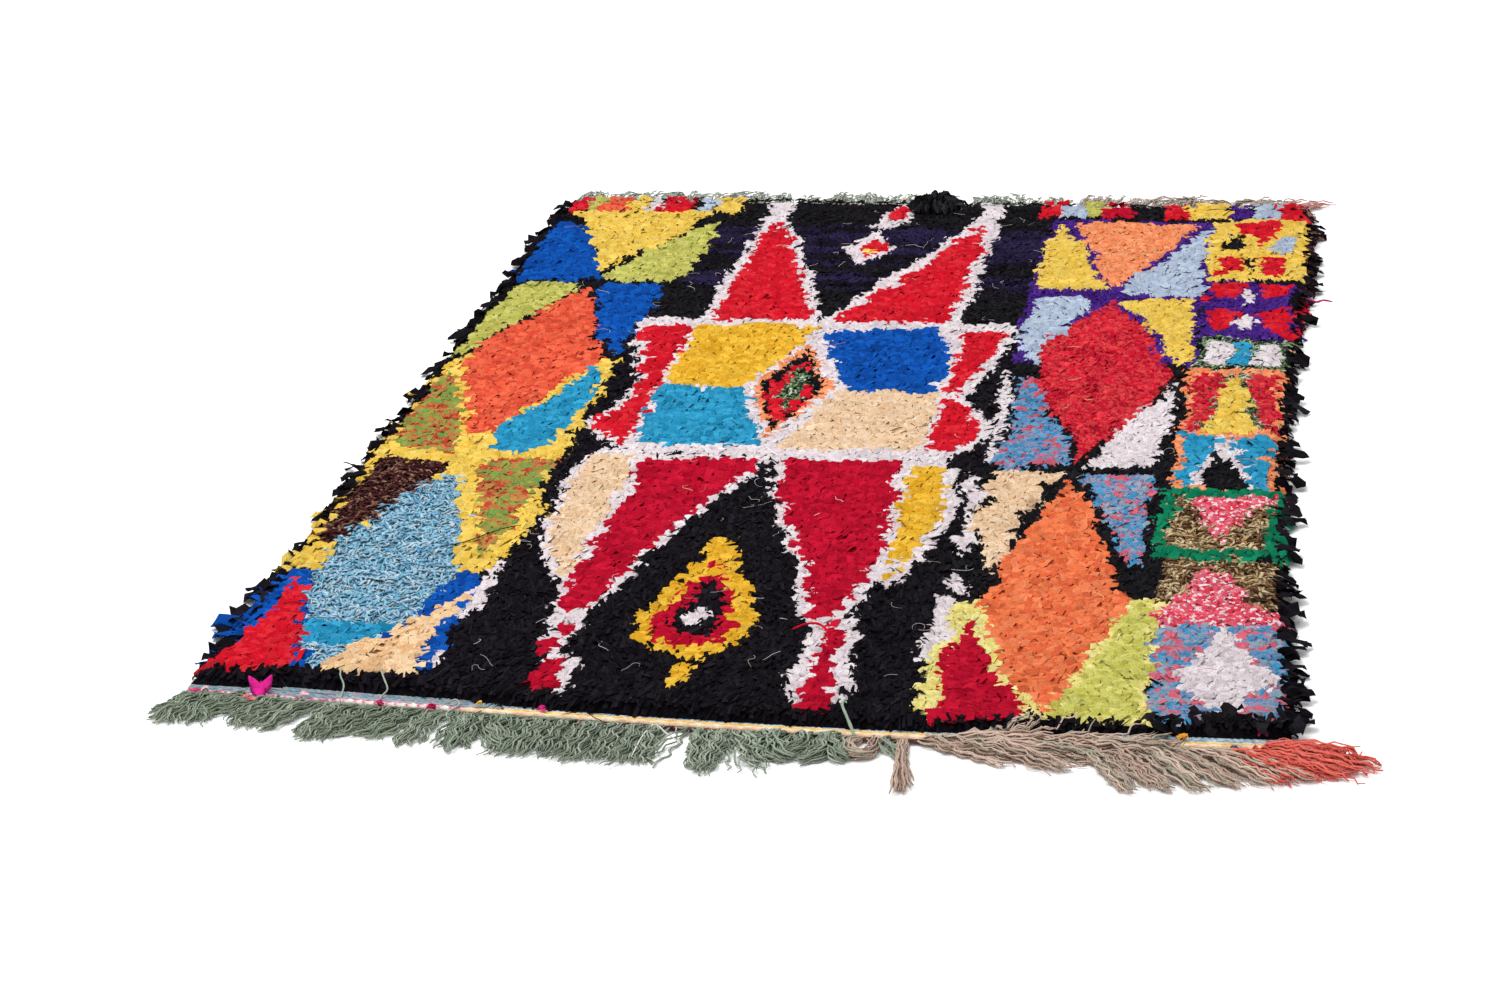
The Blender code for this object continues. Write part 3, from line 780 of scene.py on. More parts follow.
        rings = np.empty_like(local)
        rings[..., 0] = x[:, None, None] + local[..., 0] * cos - local[..., 1] * sin
        rings[..., 1] = y[:, None, None] + local[..., 0] * sin + local[..., 1] * cos
        rings[..., 2] = np.maximum(local[..., 2], self.clear)
        return rings, middle

    def build(self) -> list[bpy.types.Object]:
        """Makes the tufts, cut by cut, one piece for each bale of rags."""
        names = list(Rag)
        pieces = []
        for number, cut in enumerate(Cut):
            rng = np.random.default_rng(self.seed + number)
            mine = np.array([rag.value.cut is cut for rag in names])
            x, y = self.roots(cut.value.pitch, rng)
            rings, middle = self.leaves(x, y, cut.value, rng)
            rags = self.chart.rags_at(*middle)
            kept = np.flatnonzero(mine[rags])
            rings, rags = rings[kept], rags[kept]
            dyes, flecks = rag_colours(rags, middle[0][kept], middle[1][kept], rng)
            # painted shade and light: each tuft's colour is darker at its knot and lighter towards its tip
            shade = np.interp(np.linspace(0, 1, cut.value.stations), (0, 0.5, 1), self.painted_tuft_shading)
            dyes, flecks = (
                np.broadcast_to((hues[:, None] * shade[None, :, None])[:, :, None], rings.shape).clip(0, 1)
                for hues in (dyes, flecks)
            )
            bales = np.array([name.value.bale for name in names])[rags]
            for bale in sorted(set(bales)):
                chosen = np.flatnonzero(bales == bale)
                finish = bale_finish(bale)
                parts = math.ceil(len(chosen) / self.most)
                for part, some in enumerate(np.array_split(chosen, parts)):
                    label = f"pile_{bale}_{cut.name.lower()}" + (f"_{part + 1}" if parts > 1 else "")
                    strands = Strands(rings[some], dyes[some], flecks[some], cut.value.smooth)
                    pieces.append(strands.piece(label, finish))
        return pieces


def rag_colours(rags: np.ndarray, x: np.ndarray, y: np.ndarray, rng: np.random.Generator) -> tuple:
    """The dye and the fleck of each tuft.

    Args:
        rags: each tuft's rag.
        x: the tufts' places across the rug.
        y: their places along the rug.
        rng: where the chances come from.

    Returns:
        Both colours, linear RGB, darkened by the painted fibre shade.
    """
    dyes = np.zeros((len(rags), 3))
    flecks = np.zeros((len(rags), 3))
    for number, rag in enumerate(Rag):
        mine = np.flatnonzero(rags == number)
        cloth = rag.value
        hues = hues_of(cloth.dyes)
        choice = rng.integers(0, len(hues), len(mine))
        if cloth.patch:
            level = 0.5 + 0.75 * wander(x[mine] / cloth.run, y[mine] * 1.6, cloth.patch, 300 + number)
            level = level + rng.normal(0, 0.10, len(mine))
            choice = np.clip((level * len(hues)).astype(int), 0, len(hues) - 1)
        tone = 1 + cloth.uneven * rng.normal(0, 1, (len(mine), 1)).clip(-2, 2)
        tone[:, 0] += 0.07 * wander(x[mine], y[mine], 0.035, 700 + number)
        tone[:, 0] += 0.05 * wander(x[mine] / 5, y[mine], 0.020, 800 + number)
        # painted shade: every dye and fleck is darkened by the painted fibre shade
        dyes[mine] = hues[choice] * tone * FIBRE_SHADE
        flecks[mine] = (hues_of((cloth.fleck,)) if cloth.fleck else hues[choice] * FLECK_SHADE) * FIBRE_SHADE
    return dyes.clip(0, 1), flecks.clip(0, 1)


FIBRE_SHADE = 0.765  # painted shade: the share of light that comes back from between the fibres, which the strips don't show, painted into every rag and yarn colour
FLECK_SHADE = 0.72  # a rag of one colour is flecked with a darker tone of it


@cache
def bale_finish(bale: str) -> bpy.types.Material:
    """The finish of one bale of rags, made once."""
    if bale == "polka":
        return RagFinish("dotted_cotton_rag", crumple=8.0 * MM, fleck=0.95, crisp=0.035, share=0.55).material()
    share = {"heather": 0.5, "melange": 0.6, "mottle": 0.5, "cornflower": 0.5, "scarlet": 0.4}.get(bale, 0.2)
    sheen = 0.04 if bale in ("white", "cream") else 0.0
    return RagFinish(f"{bale}_cotton_rag", sheen=sheen, fleck=share).material()


@dataclass(frozen=True)
class Weft:
    """One row of the flat weave at the rug's ends: how far in from the edge it lies, its thickness and colours."""

    back: float
    radius: float
    dyes: tuple[str, ...]
    dash: float
    start: float
    stop: float
    far: bool = False


@dataclass
class Ground:
    """The woven ground cloth with its two flat bands, and the rows of knots that it carries."""

    outline: Outline
    chart: Chart
    pile: Pile
    thick: float = 0.0034
    lift: float = 0.0004
    hem: float = 0.004
    bed_hem: float = 0.003
    cells: tuple[int, int] = (24, 36)
    bed_cells: tuple[int, int] = (84, 124)
    lean: float = 0.008  # how far the tufts lie towards the near end from their knots
    # painted shade: the knot rows under the tufts are coloured darker than their rags' mean colour
    shade: float = 0.80
    station: float = 0.0041
    sides: int = 6
    ply_lobe: float = 0.16
    slub: float = 0.06

    def grid(self, columns: int, rows: int, low: object, high: object, inset: float) -> bmesh.types.BMesh:
        """A grid that fills the outline between two edges that run across the rug."""
        bm = bmesh.new()
        bmesh.ops.create_grid(bm, x_segments=columns, y_segments=rows, size=0.5)
        for point in bm.verts:
            share_x, share_y = point.co.x + 0.5, point.co.y + 0.5
            y = 2.2 * (share_y - 0.5)
            left, right = float(self.outline.left(y)) + inset, float(self.outline.right(y)) - inset
            x = left + (right - left) * share_x
            start, stop = float(low(x)), float(high(x))
            point.co = (x, start + (stop - start) * share_y, 0.0)
        return bm

    def cloth(self) -> bpy.types.Object:
        """The ground cloth, a thin sheet flat on the floor."""
        bm = self.grid(*self.cells, self.outline.near_end, self.outline.far_end, self.hem)
        drawn = bmesh.ops.extrude_face_region(bm, geom=bm.faces[:])["geom"]
        raised = [item for item in drawn if isinstance(item, bmesh.types.BMVert)]
        bmesh.ops.translate(bm, vec=(0, 0, self.thick), verts=raised)
        bmesh.ops.translate(bm, vec=(0, 0, self.lift), verts=bm.verts)
        bmesh.ops.recalc_face_normals(bm, faces=bm.faces)
        return add_piece("woven_ground", finished(bm, "woven_ground", RibFinish("woven_cotton_ground").material()))

    def knots(self) -> bpy.types.Object:
        """The close rows of knots under the tufts."""
        bm = self.grid(*self.bed_cells, self.outline.near, self.outline.far, self.bed_hem)
        points = np.array([point.co[:] for point in bm.verts])
        inward = np.clip(self.pile.edge_at(points[:, 0], points[:, 1]) / self.pile.rim - 0.3, 0, 1)
        rags = self.chart.rags_at(points[:, 0], points[:, 1] - self.lean)
        cushion = np.array([rag.value.cut.value.cushion for rag in Rag])[rags]
        heights = self.pile.bed_at(points[:, 0], points[:, 1]) + cushion * inward
        for point, height in zip(bm.verts, heights):
            point.co.z = height
        drawn = bmesh.ops.extrude_face_region(bm, geom=bm.faces[:])["geom"]
        low = [item for item in drawn if isinstance(item, bmesh.types.BMVert)]
        for point in low:
            point.co.z = self.lift + self.thick * 0.5
        bmesh.ops.recalc_face_normals(bm, faces=bm.faces)
        mesh = finished(bm, "knot_rows", RagFinish("knotted_rag").material())
        points = np.zeros(len(mesh.vertices) * 3)
        mesh.vertices.foreach_get("co", points)
        points = points.reshape(-1, 3)
        rags = self.chart.rags_at(points[:, 0], points[:, 1] - self.lean)
        # painted shade: each knot gets its rag's mean colour darkened by the shade factor
        hues = self.shade * np.array([hues_of(rag.value.dyes).mean(0) for rag in Rag])[rags]
        paint(mesh, hues, hues)
        mesh.polygons.foreach_set("use_smooth", np.ones(len(mesh.polygons), bool))
        return add_piece("knot_rows", mesh)

    def rows(self) -> list[bpy.types.Object]:
        """The rows of weft and the rolled cords of the two bands, each a two-ply twist."""
        pieces = []
        material = RagFinish("twisted_cotton_weft", crumple=5 * MM, thread=1.2 * MM, fleck=0.2).material()
        for number, weft in enumerate(WEFTS):
            x = np.arange(weft.start, weft.stop, self.station)
            back = weft.back + 0.0006 * wander(x, x * 0, 0.03, 60 + number)
            y = self.outline.far_end(x) - back if weft.far else self.outline.near_end(x) + back
            z = self.lift + self.thick + 0.45 * weft.radius + 0 * x
            path = np.stack([x, y, z], -1)[None]
            turn = np.arange(self.sides) / self.sides * 2 * np.pi
            phase = x / max(weft.dash, 0.004) * np.pi
            lobes = 1 + self.ply_lobe * np.cos(2 * (turn[None] - phase[:, None]))
            radius = weft.radius * lobes * (1 + self.slub * wander(x, x * 0, 0.012, 80 + number))[:, None]
            rings = sweep(path, radius[None], self.sides)
            hues = hues_of(weft.dyes)
            ply = np.floor((turn[None] - phase[:, None]) / np.pi).astype(int) % 2
            step = np.floor(x / weft.dash).astype(int)[:, None] + ply
            dyes = hues[step % len(hues)][None]
            pieces.append(Strands(rings, dyes, dyes * 0.8).piece(f"band_row_{number + 1}", material))
        return pieces


TEAL = ("#869ca4", "#6a8a96", "#a3acb0", "#97909a")
WEFTS = (
    Weft(0.0030, 0.0023, TEAL, 0.006, -0.752, -0.52),
    Weft(0.0078, 0.0024, ("#d8809c", "#e6d3d6", "#c9346c"), 0.0065, -0.752, -0.52),
    Weft(0.0064, 0.0046, ("#d22f6c", "#eadfd8", "#d9799a", "#efe6da"), 0.015, -0.535, -0.345),
    Weft(0.0130, 0.0025, ("#d8809c", "#e6d3d6", "#c9346c"), 0.0070, -0.535, -0.325),
    Weft(0.0125, 0.0023, TEAL, 0.005, -0.752, -0.535),
    Weft(0.0168, 0.0023, TEAL, 0.005, -0.54, -0.33),
    Weft(0.0172, 0.0023, TEAL, 0.006, -0.752, -0.53),
    Weft(0.0200, 0.0023, ("#8db0b8", "#b9a8b4", "#7199a6"), 0.009, -0.54, -0.30),
    Weft(0.0219, 0.0023, TEAL, 0.005, -0.752, -0.53),
    Weft(0.0246, 0.0023, TEAL, 0.006, -0.54, -0.24),
    Weft(0.0292, 0.0023, TEAL, 0.009, -0.66, -0.30),
    Weft(0.0338, 0.0023, TEAL, 0.009, -0.62, -0.34),
    Weft(0.0050, 0.0049, ("#e6cba8", "#dcb99a", "#ecd6b8"), 0.024, -0.355, 0.733),
    Weft(0.0124, 0.0032, ("#e2b75e", "#e9c87c", "#d9ac54"), 0.011, -0.335, 0.733),
    Weft(0.0172, 0.0027, ("#e6c894", "#dfb768", "#ecd6ac"), 0.012, -0.300, 0.733),
    Weft(0.0218, 0.0022, ("#7fa6c0", "#c9d3d8", "#6a96b4"), 0.008, -0.30, 0.735),
    Weft(0.0262, 0.0022, ("#9db9c6", "#6a96b4", "#d3cdc8"), 0.009, 0.40, 0.735),
    Weft(0.0306, 0.0022, ("#6a96b4", "#b9c7cc"), 0.009, 0.50, 0.735),
    Weft(-0.0012, 0.0028, ("#6b3f3e", "#42272a", "#7d554c"), 0.012, -0.350, 0.69),
    Weft(0.0220, 0.0030, ("#6aa3ba", "#b9c9cc", "#7fb3c6"), 0.012, -0.735, 0.735, True),
    Weft(0.0155, 0.0034, ("#c9b59a", "#b7a078"), 0.014, -0.735, 0.735, True),
    Weft(0.0080, 0.0040, ("#dcc9b8", "#cf9f9c", "#d9c6a8"), 0.016, -0.735, 0.735, True),
)


@dataclass(frozen=True)
class RibFinish:
    """Plain ribbed cotton weave: matt, with its weft ribs 2.5 mm apart along the rug."""

    name: str
    rib: float = 2.5 * MM

    def material(self) -> bpy.types.Material:
        """Builds the finish on the cloth's own coordinates."""
        material, tree, shader = new_material(self.name)
        place = add_node(tree, "ShaderNodeTexCoord").outputs["Object"]
        ribs = add_node(
            tree, "ShaderNodeTexWave", {"Vector": place}, bands_direction="Y", in_Scale=0.05 / self.rib,
            in_Distortion=1.2, in_Detail=1.0,
        )
        # rib tint: two tones of weave, the darker one where the rib bump is low: weave colour with painted shade
        # in the grooves between ribs
        tint = add_node(tree, "ShaderNodeMix", {"Factor": ribs.outputs["Fac"]}, data_type="RGBA")
        tint.inputs["A"].default_value = linear("#72888e")
        tint.inputs["B"].default_value = linear("#9da8a8")
        tree.links.new(tint.outputs["Result"], shader.inputs["Base Color"])
        bump = add_node(
            tree, "ShaderNodeBump", {"Height": ribs.outputs["Fac"]}, in_Strength=0.6, in_Distance=0.8 * MM
        )
        tree.links.new(bump.outputs["Normal"], shader.inputs["Normal"])
        shader.inputs["Roughness"].default_value = 0.9
        shader.inputs["Specular IOR Level"].default_value = 0.2
        return material


def sweep(paths: np.ndarray, radii: np.ndarray, sides: int) -> np.ndarray:
    """Sweeps a ring along each path.

    Args:
        paths: the paths' points, by strand, station and axis.
        radii: the radius at each station, or at each side of it.
        sides: how many sides the ring has.

    Returns:
        The rings, by strand, station, side and axis.
    """
    run = np.gradient(paths, axis=1)
    run = run / np.maximum(np.linalg.norm(run, axis=-1, keepdims=True), 1e-9)
    side = np.cross(run, np.array([0.0, 0.0, 1.0]))
    side = side / np.maximum(np.linalg.norm(side, axis=-1, keepdims=True), 1e-9)
    above = np.cross(side, run)
    turn = np.arange(sides) / sides * 2 * np.pi
    radii = radii[..., None] if radii.ndim == 2 else radii
    across = (radii * np.cos(turn))[..., None] * side[:, :, None]
    lifted = (radii * np.sin(turn))[..., None] * above[:, :, None]
    return paths[:, :, None] + across + lifted


def smooth_path(places: np.ndarray, stations: int) -> np.ndarray:
    """A smooth path through some places.

    Args:
        places: the places, by point and axis.
        stations: how many points the path gets.

    Returns:
        The path's points.
    """
    padded = np.concatenate([2 * places[:1] - places[1:2], places, 2 * places[-1:] - places[-2:-1]])
    along = np.linspace(0, len(places) - 1.000001, stations)
    first = along.astype(int)
    share = (along - first)[:, None]
    p0, p1, p2, p3 = (padded[first + step] for step in range(4))
    bend = 2 * p0 - 5 * p1 + 4 * p2 - p3
    return 0.5 * (2 * p1 + (p2 - p0) * share + bend * share**2 + (3 * (p1 - p2) + p3 - p0) * share**3)


@dataclass(frozen=True)
class WoolFinish:
    """Loosely spun wool: matt and fuzzy, with its ply showing."""

    name: str
    roughness: float = 0.95
    fuzz: float = 0.14  # loose fibres catch the light at the yarns' edges
    ply: float = 2.0 * MM

    def material(self) -> bpy.types.Material:
        """Builds the finish from the yarns' own dye colours."""
        return RagFinish(
            self.name, roughness=self.roughness, sheen=self.fuzz, crumple=6 * MM, thread=self.ply
        ).material()


@dataclass(frozen=True)
class Lock:
    """One bunch of fringe yarns: where it leaves the cloth, its yarns, its run and how it lies."""

    x: float
    yarns: int
    length: float
    lean: float
    spread: float = 0.019
    flare: float = 1.05
    curl: float = 0.0
    pile_up: float = 0.016
    far: bool = False
    loose: float = 1.0


@dataclass
class Fringe:
    """The yarn fringes at both ends, in wavy bunches that lie on the floor and on the rug's own edge."""

    outline: Outline
    radius: float = 0.00155
    crinkle: float = 0.0030
    own_crinkle: float = 0.0017
    wave: float = 0.030
    floor: float = 0.0020
    on_band: float = 0.0105
    pile_step: float = 0.0150
    seed: int = 77

    def yarns(self, locks: list[Lock], stations: int, rng: np.random.Generator) -> np.ndarray:
        """The paths of all the yarns of some bunches; the yarns of a bunch keep together and wave together.

        Args:
            locks: the bunches.
            stations: how many points each yarn follows.
            rng: where the chances come from.

        Returns:
            The points, by yarn, station and axis.
        """
        paths = []
        steps = np.linspace(0, 1, stations)
        for lock in locks:
            sign = 1 if lock.far else -1
            place = rng.uniform(-1, 1, (lock.yarns, 1))
            layer = rng.uniform(0, 1, (lock.yarns, 1))
            loose = np.where(rng.uniform(0, 1, (lock.yarns, 1)) < 0.10, 2.6, 1.0) * lock.loose
            length = lock.length * (1 - 0.16 * place**2) * rng.uniform(0.84, 1.05, (lock.yarns, 1))
            bend = lock.curl + loose * rng.normal(0, 0.11, (lock.yarns, 1))
            lean = math.radians(lock.lean) + loose * rng.normal(0, 0.05, (lock.yarns, 1))
            angle = lean + bend * steps[None] ** 2
            travelled = steps[None] * length
            pitch = self.wave * rng.uniform(0.85, 1.2)
            wobble = self.crinkle * np.sin((travelled / pitch + rng.uniform(0, 1)) * 2 * np.pi)
            own_pitch = 0.62 * pitch * rng.uniform(0.9, 1.15, (lock.yarns, 1))
            own_phase = rng.uniform(0, 1, (lock.yarns, 1))
            wobble = wobble + self.own_crinkle * np.sin((travelled / own_pitch + own_phase) * 2 * np.pi)
            step = length / (stations - 1)
            run_x = np.cumsum(np.sin(angle) * step, 1) - np.sin(angle[:, :1]) * step
            run_y = np.cumsum(np.cos(angle) * step, 1) - np.cos(angle[:, :1]) * step
            free = np.clip(steps * 4.5, 0, 1)[None]
            width = lock.spread * np.interp(steps, (0, 0.3, 0.65, 1), (1.0, 0.84, 0.86, lock.flare))[None]
            across = place * width + wobble * free * lock.loose
            x = lock.x + run_x + across * (np.cos(angle) * free + (1 - free))
            edge = self.outline.far_end(x[:, :1]) if lock.far else self.outline.near_end(x[:, :1])
            y = edge - sign * 0.004 + sign * run_y - sign * across * np.sin(angle) * free
            crown = layer * (1 - 0.55 * place**2)
            swell = np.interp(steps, (0, 0.3, 0.7, 1), (0.7, 1.0, 0.85, 0.35))[None]
            heap = self.floor + crown * lock.pile_up * swell
            hop = 0.0011 * np.sin((travelled / (1.3 * pitch) + rng.uniform(0, 1, (lock.yarns, 1))) * 2 * np.pi)
            z = (0.0045 + 0.002 * layer) * (1 - free) + (heap + hop) * free
            if not lock.far:
                up = np.clip((y - self.outline.near(x) + 0.004) / 0.022, 0, 1)
                over = (y > self.outline.near_end(x)) & (steps > 0.12)
                rest = np.where(over, self.on_band + self.pile_step * up, 0)
                z = np.maximum(z, rest + 0.006 * crown)
            paths.append(np.stack([x, y, np.maximum(z, self.floor)], -1))
        return np.concatenate(paths)

    def spin(
        self, name: str, node: str, slot: str, locks: list[Lock], dyes: tuple[str, ...], stations: int
    ) -> None:
        """Spins one colour of fringe.

        Args:
            name: the piece's name.
            node: the frame's solid that it stands for.
            slot: the record's material slot.
            locks: the bunches.
            dyes: the yarns' colours.
            stations: how many points each yarn follows.
        """
        rng = np.random.default_rng([self.seed, len(name), len(locks)])
        paths = self.yarns(locks, stations, rng)
        thick = self.radius * rng.uniform(0.75, 1.2, (len(paths), 1)) * np.interp(
            np.linspace(0, 1, stations), (0, 0.85, 1), (1.0, 1.0, 0.6)
        )
        hues = hues_of(dyes)
        colours = hues[rng.integers(0, len(hues), len(paths))] * rng.uniform(0.88, 1.12, (len(paths), 1))
        # painted shade: the yarns' colours are darkened by the painted fibre shade
        strands = Strands(sweep(paths, thick, 3), colours * FIBRE_SHADE, colours * FIBRE_SHADE * 0.9)
        finish = WoolFinish(f"{name}_spun").material()
        self.made.append(strands.piece(name, finish, node=node, slot=slot))

    def build(self) -> list[bpy.types.Object]:
        """Makes the six fringes."""
        self.made = []
        rng = np.random.default_rng(self.seed)
        sage = ("#a4b29c", "#99a891", "#b2bca8", "#8d9985")
        near = []
        for x in np.arange(-0.738, -0.06, 0.030):
            share = (x + 0.735) / 0.91
            near.append(Lock(
                x + rng.normal(0, 0.004), 29, 0.098 + 0.018 * share + rng.normal(0, 0.006),
                -34 + 38 * share + rng.normal(0, 9), curl=rng.normal(0, 0.45),
            ))
        near += [
            Lock(-0.022, 28, 0.112, 0, 0.015, 1.1, 0.35), Lock(0.006, 33, 0.120, -2, 0.018, 1.1, -0.25),
            Lock(0.034, 29, 0.104, 10, 0.018, 1.0, 0.7), Lock(0.016, 4, 0.150, 24, 0.003, 1.0, 0.2),
            Lock(-0.042, 4, 0.125, -16, 0.003, 1.0, -0.5),
        ]
        for number, x in enumerate(np.arange(0.062, 0.165, 0.024)):
            lean, curl = ((24, -1.9), (-16, 1.7), (18, -2.1))[number % 3]
            near.append(Lock(x, 30, 0.084 + rng.normal(0, 0.004), lean, 0.017, 1.0, curl, 0.021))
        near.append(Lock(0.222, 14, 0.060, 0, 0.010, 0.9, 1.5))
        self.spin("sage_fringe_near", "fringe_near_sage", "sage_wool", near, sage, 17)
        tan = [
            Lock(0.184, 26, 0.096, -34, 0.009, 1.0, 3.6, loose=0.6),
            Lock(0.200, 14, 0.070, 30, 0.009, 1.0, -2.4, loose=0.6),
            Lock(0.240, 38, 0.142, 5, 0.0095, 1.6, 0.05, loose=0.35), Lock(0.264, 12, 0.075, 55, 0.010, 1.0, 0.6),
        ]
        for number, x in enumerate(np.arange(0.275, 0.475, 0.024)):
            lean, curl = ((60, 0.40), (87, 0.50), (75, 0.55))[number % 3]
            length, lean = 0.138 + rng.normal(0, 0.006), lean + rng.normal(0, 4)
            tan.append(Lock(x, 27, length, lean, 0.016, 1.15, curl, 0.019))
        for x, lean in ((0.475, 26), (0.508, 31), (0.543, 35), (0.578, 40), (0.612, 47), (0.642, 55)):
            tan.append(Lock(x, 30, 0.140 + rng.normal(0, 0.004), lean, 0.015, 0.8, 0.24, loose=0.7))
        beige = ("#d8baa8", "#e2c5b2", "#cbac98", "#bfb5a0")
        self.spin("beige_fringe_near", "fringe_near_beige", "beige_wool", tan, beige, 17)
        tail = [
            Lock(x, 26, length, lean, 0.013, 0.75, curl) for x, length, lean, curl in (
                (0.655, 0.118, 46, 0.20), (0.672, 0.124, 52, 0.25), (0.690, 0.130, 58, 0.20),
                (0.706, 0.136, 68, 0.05), (0.716, 0.136, 86, -0.45), (0.690, 0.128, 92, -0.55),
            )
        ]
        coral = ("#f66a5a", "#fb7a6a", "#ea5e4e")
        self.spin("coral_fringe_near", "fringe_near_coral", "coral_wool", tail, coral, 17)
        self.spin("sage_fringe_far", "fringe_far_sage", "sage_wool", [
            Lock(x, 9, 0.080 + rng.normal(0, 0.009), 12 - 20 * (x + 0.74) + rng.normal(0, 12), 0.018, 1.6,
                 far=True, curl=rng.normal(0, 0.45), pile_up=0.018)
            for x in np.arange(-0.725, 0.26, 0.027)
        ], ("#a9b0a2", "#9aa494", "#b8bcae"), 8)
        self.spin("beige_fringe_far", "fringe_far_beige", "beige_wool", [
            Lock(x, 10, 0.080 + rng.normal(0, 0.009), 14 + 60 * (x - 0.27) + rng.normal(0, 12), 0.018, 1.6,
                 far=True, curl=rng.normal(0.2, 0.35), pile_up=0.020)
            for x in np.arange(0.285, 0.67, 0.027)
        ], ("#c4b4a6", "#cfc0b2", "#b5a596"), 8)
        self.spin("coral_fringe_far", "fringe_far_coral", "coral_wool", [
            Lock(x, 10, 0.082, lean, 0.012, far=True, pile_up=0.016)
            for x, lean in ((0.680, 30), (0.700, 40), (0.718, 50))
        ], ("#d98a80", "#e29a90", "#c99a92"), 8)
        return self.made


@dataclass(frozen=True)
class Span:
    """A stretch of the rug's side where rag ends of one kind stick out."""

    start: float
    stop: float
    rag: Rag
    every: float
    reach: float
    wide: float


LEFT_SPANS = (
    Span(-1.06, 1.10, Rag.BLACK, 0.0112, 0.018, 0.023),
    Span(-0.72, -0.28, Rag.YELLOW, 0.034, 0.014, 0.020),
    Span(-0.26, 0.16, Rag.YELLOW, 0.055, 0.012, 0.017),
    Span(0.60, 0.95, Rag.ROYAL, 0.05, 0.012, 0.016),
    Span(-1.04, -0.76, Rag.ROYAL, 0.024, 0.020, 0.022),
    Span(-0.94, -0.87, Rag.ROYAL, 0.010, 0.032, 0.026),
    Span(-0.42, -0.33, Rag.BLACK, 0.018, 0.026, 0.022),
    Span(-0.99, -0.96, Rag.BLACK, 0.014, 0.024, 0.020),
)
RIGHT_SPANS = (
    Span(-1.07, 1.02, Rag.BLACK, 0.0116, 0.016, 0.020),
    Span(0.40, 0.56, Rag.CRIMSON, 0.022, 0.017, 0.014),
    Span(0.17, 0.30, Rag.PEACH, 0.040, 0.014, 0.010),
    Span(0.60, 1.09, Rag.BARK, 0.020, 0.013, 0.010),
    Span(-0.98, -0.90, Rag.BLACK, 0.020, 0.017, 0.024),
    Span(-0.42, -0.34, Rag.BLACK, 0.024, 0.015, 0.020),
)


@dataclass(frozen=True)
class Strand:
    """One yarn end or thread that lies over the rug: the places it runs through, its thickness and its colour."""

    places: tuple[tuple[float, float, float], ...]
    radius: float
    dye: str


YARN_ENDS = (
    Strand(((-0.545, -1.050, 0.026), (-0.540, -1.072, 0.024), (-0.532, -1.084, 0.015), (-0.530, -1.104, 0.010),
            (-0.524, -1.136, 0.009)), 0.0013, "#9aa89a"),
    Strand(((-0.490, -1.050, 0.026), (-0.476, -1.078, 0.024), (-0.468, -1.092, 0.015), (-0.474, -1.110, 0.010),
            (-0.456, -1.146, 0.009)), 0.0013, "#a3ad9c"),
    Strand(((0.158, -1.083, 0.027), (0.155, -1.100, 0.027), (0.163, -1.121, 0.023), (0.171, -1.136, 0.015),
            (0.180, -1.158, 0.010)), 0.0022, "#93a595"),
    Strand(((-0.380, -1.120, 0.012), (-0.368, -1.110, 0.014), (-0.360, -1.122, 0.012), (-0.372, -1.140, 0.009),
            (-0.366, -1.156, 0.008)), 0.0015, "#9aa89a"),
    Strand(((-0.520, -0.640, 0.0265), (-0.488, -0.624, 0.0270), (-0.462, -0.592, 0.0275), (-0.438, -0.566, 0.0270),
            (-0.410, -0.548, 0.0265)), 0.0008, "#30261f"),
    Strand(((-0.340, -1.160, 0.013), (-0.325, -1.128, 0.010), (-0.312, -1.112, 0.013), (-0.300, -1.122, 0.010),
            (-0.288, -1.140, 0.008)), 0.0006, "#2a2220"),
    Strand(((-0.215, -1.135, 0.012), (-0.190, -1.122, 0.011), (-0.170, -1.138, 0.011), (-0.150, -1.150, 0.010),
            (-0.128, -1.152, 0.009)), 0.0006, "#2a2220"),
    Strand(((-0.098, -1.240, 0.010), (-0.094, -1.190, 0.014), (-0.086, -1.152, 0.012), (-0.066, -1.176, 0.013),
            (-0.040, -1.200, 0.010)), 0.0009, "#e6e2dc"),
    Strand(((0.722, 0.585, 0.016), (0.738, 0.592, 0.010), (0.752, 0.588, 0.007), (0.764, 0.596, 0.008),
            (0.780, 0.594, 0.006)), 0.0020, "#b02c6a"),
    Strand(((0.052, -0.880, 0.027), (0.066, -0.868, 0.029), (0.082, -0.862, 0.029), (0.096, -0.872, 0.027),
            (0.104, -0.890, 0.025)), 0.0018, "#c8142c"),
)


@dataclass(frozen=True)
class Scrap:
    """A crumpled scrap of rag caught in the band: where it sits, how far its corners reach and its colour."""

    place: Point
    reach: float
    dye: str


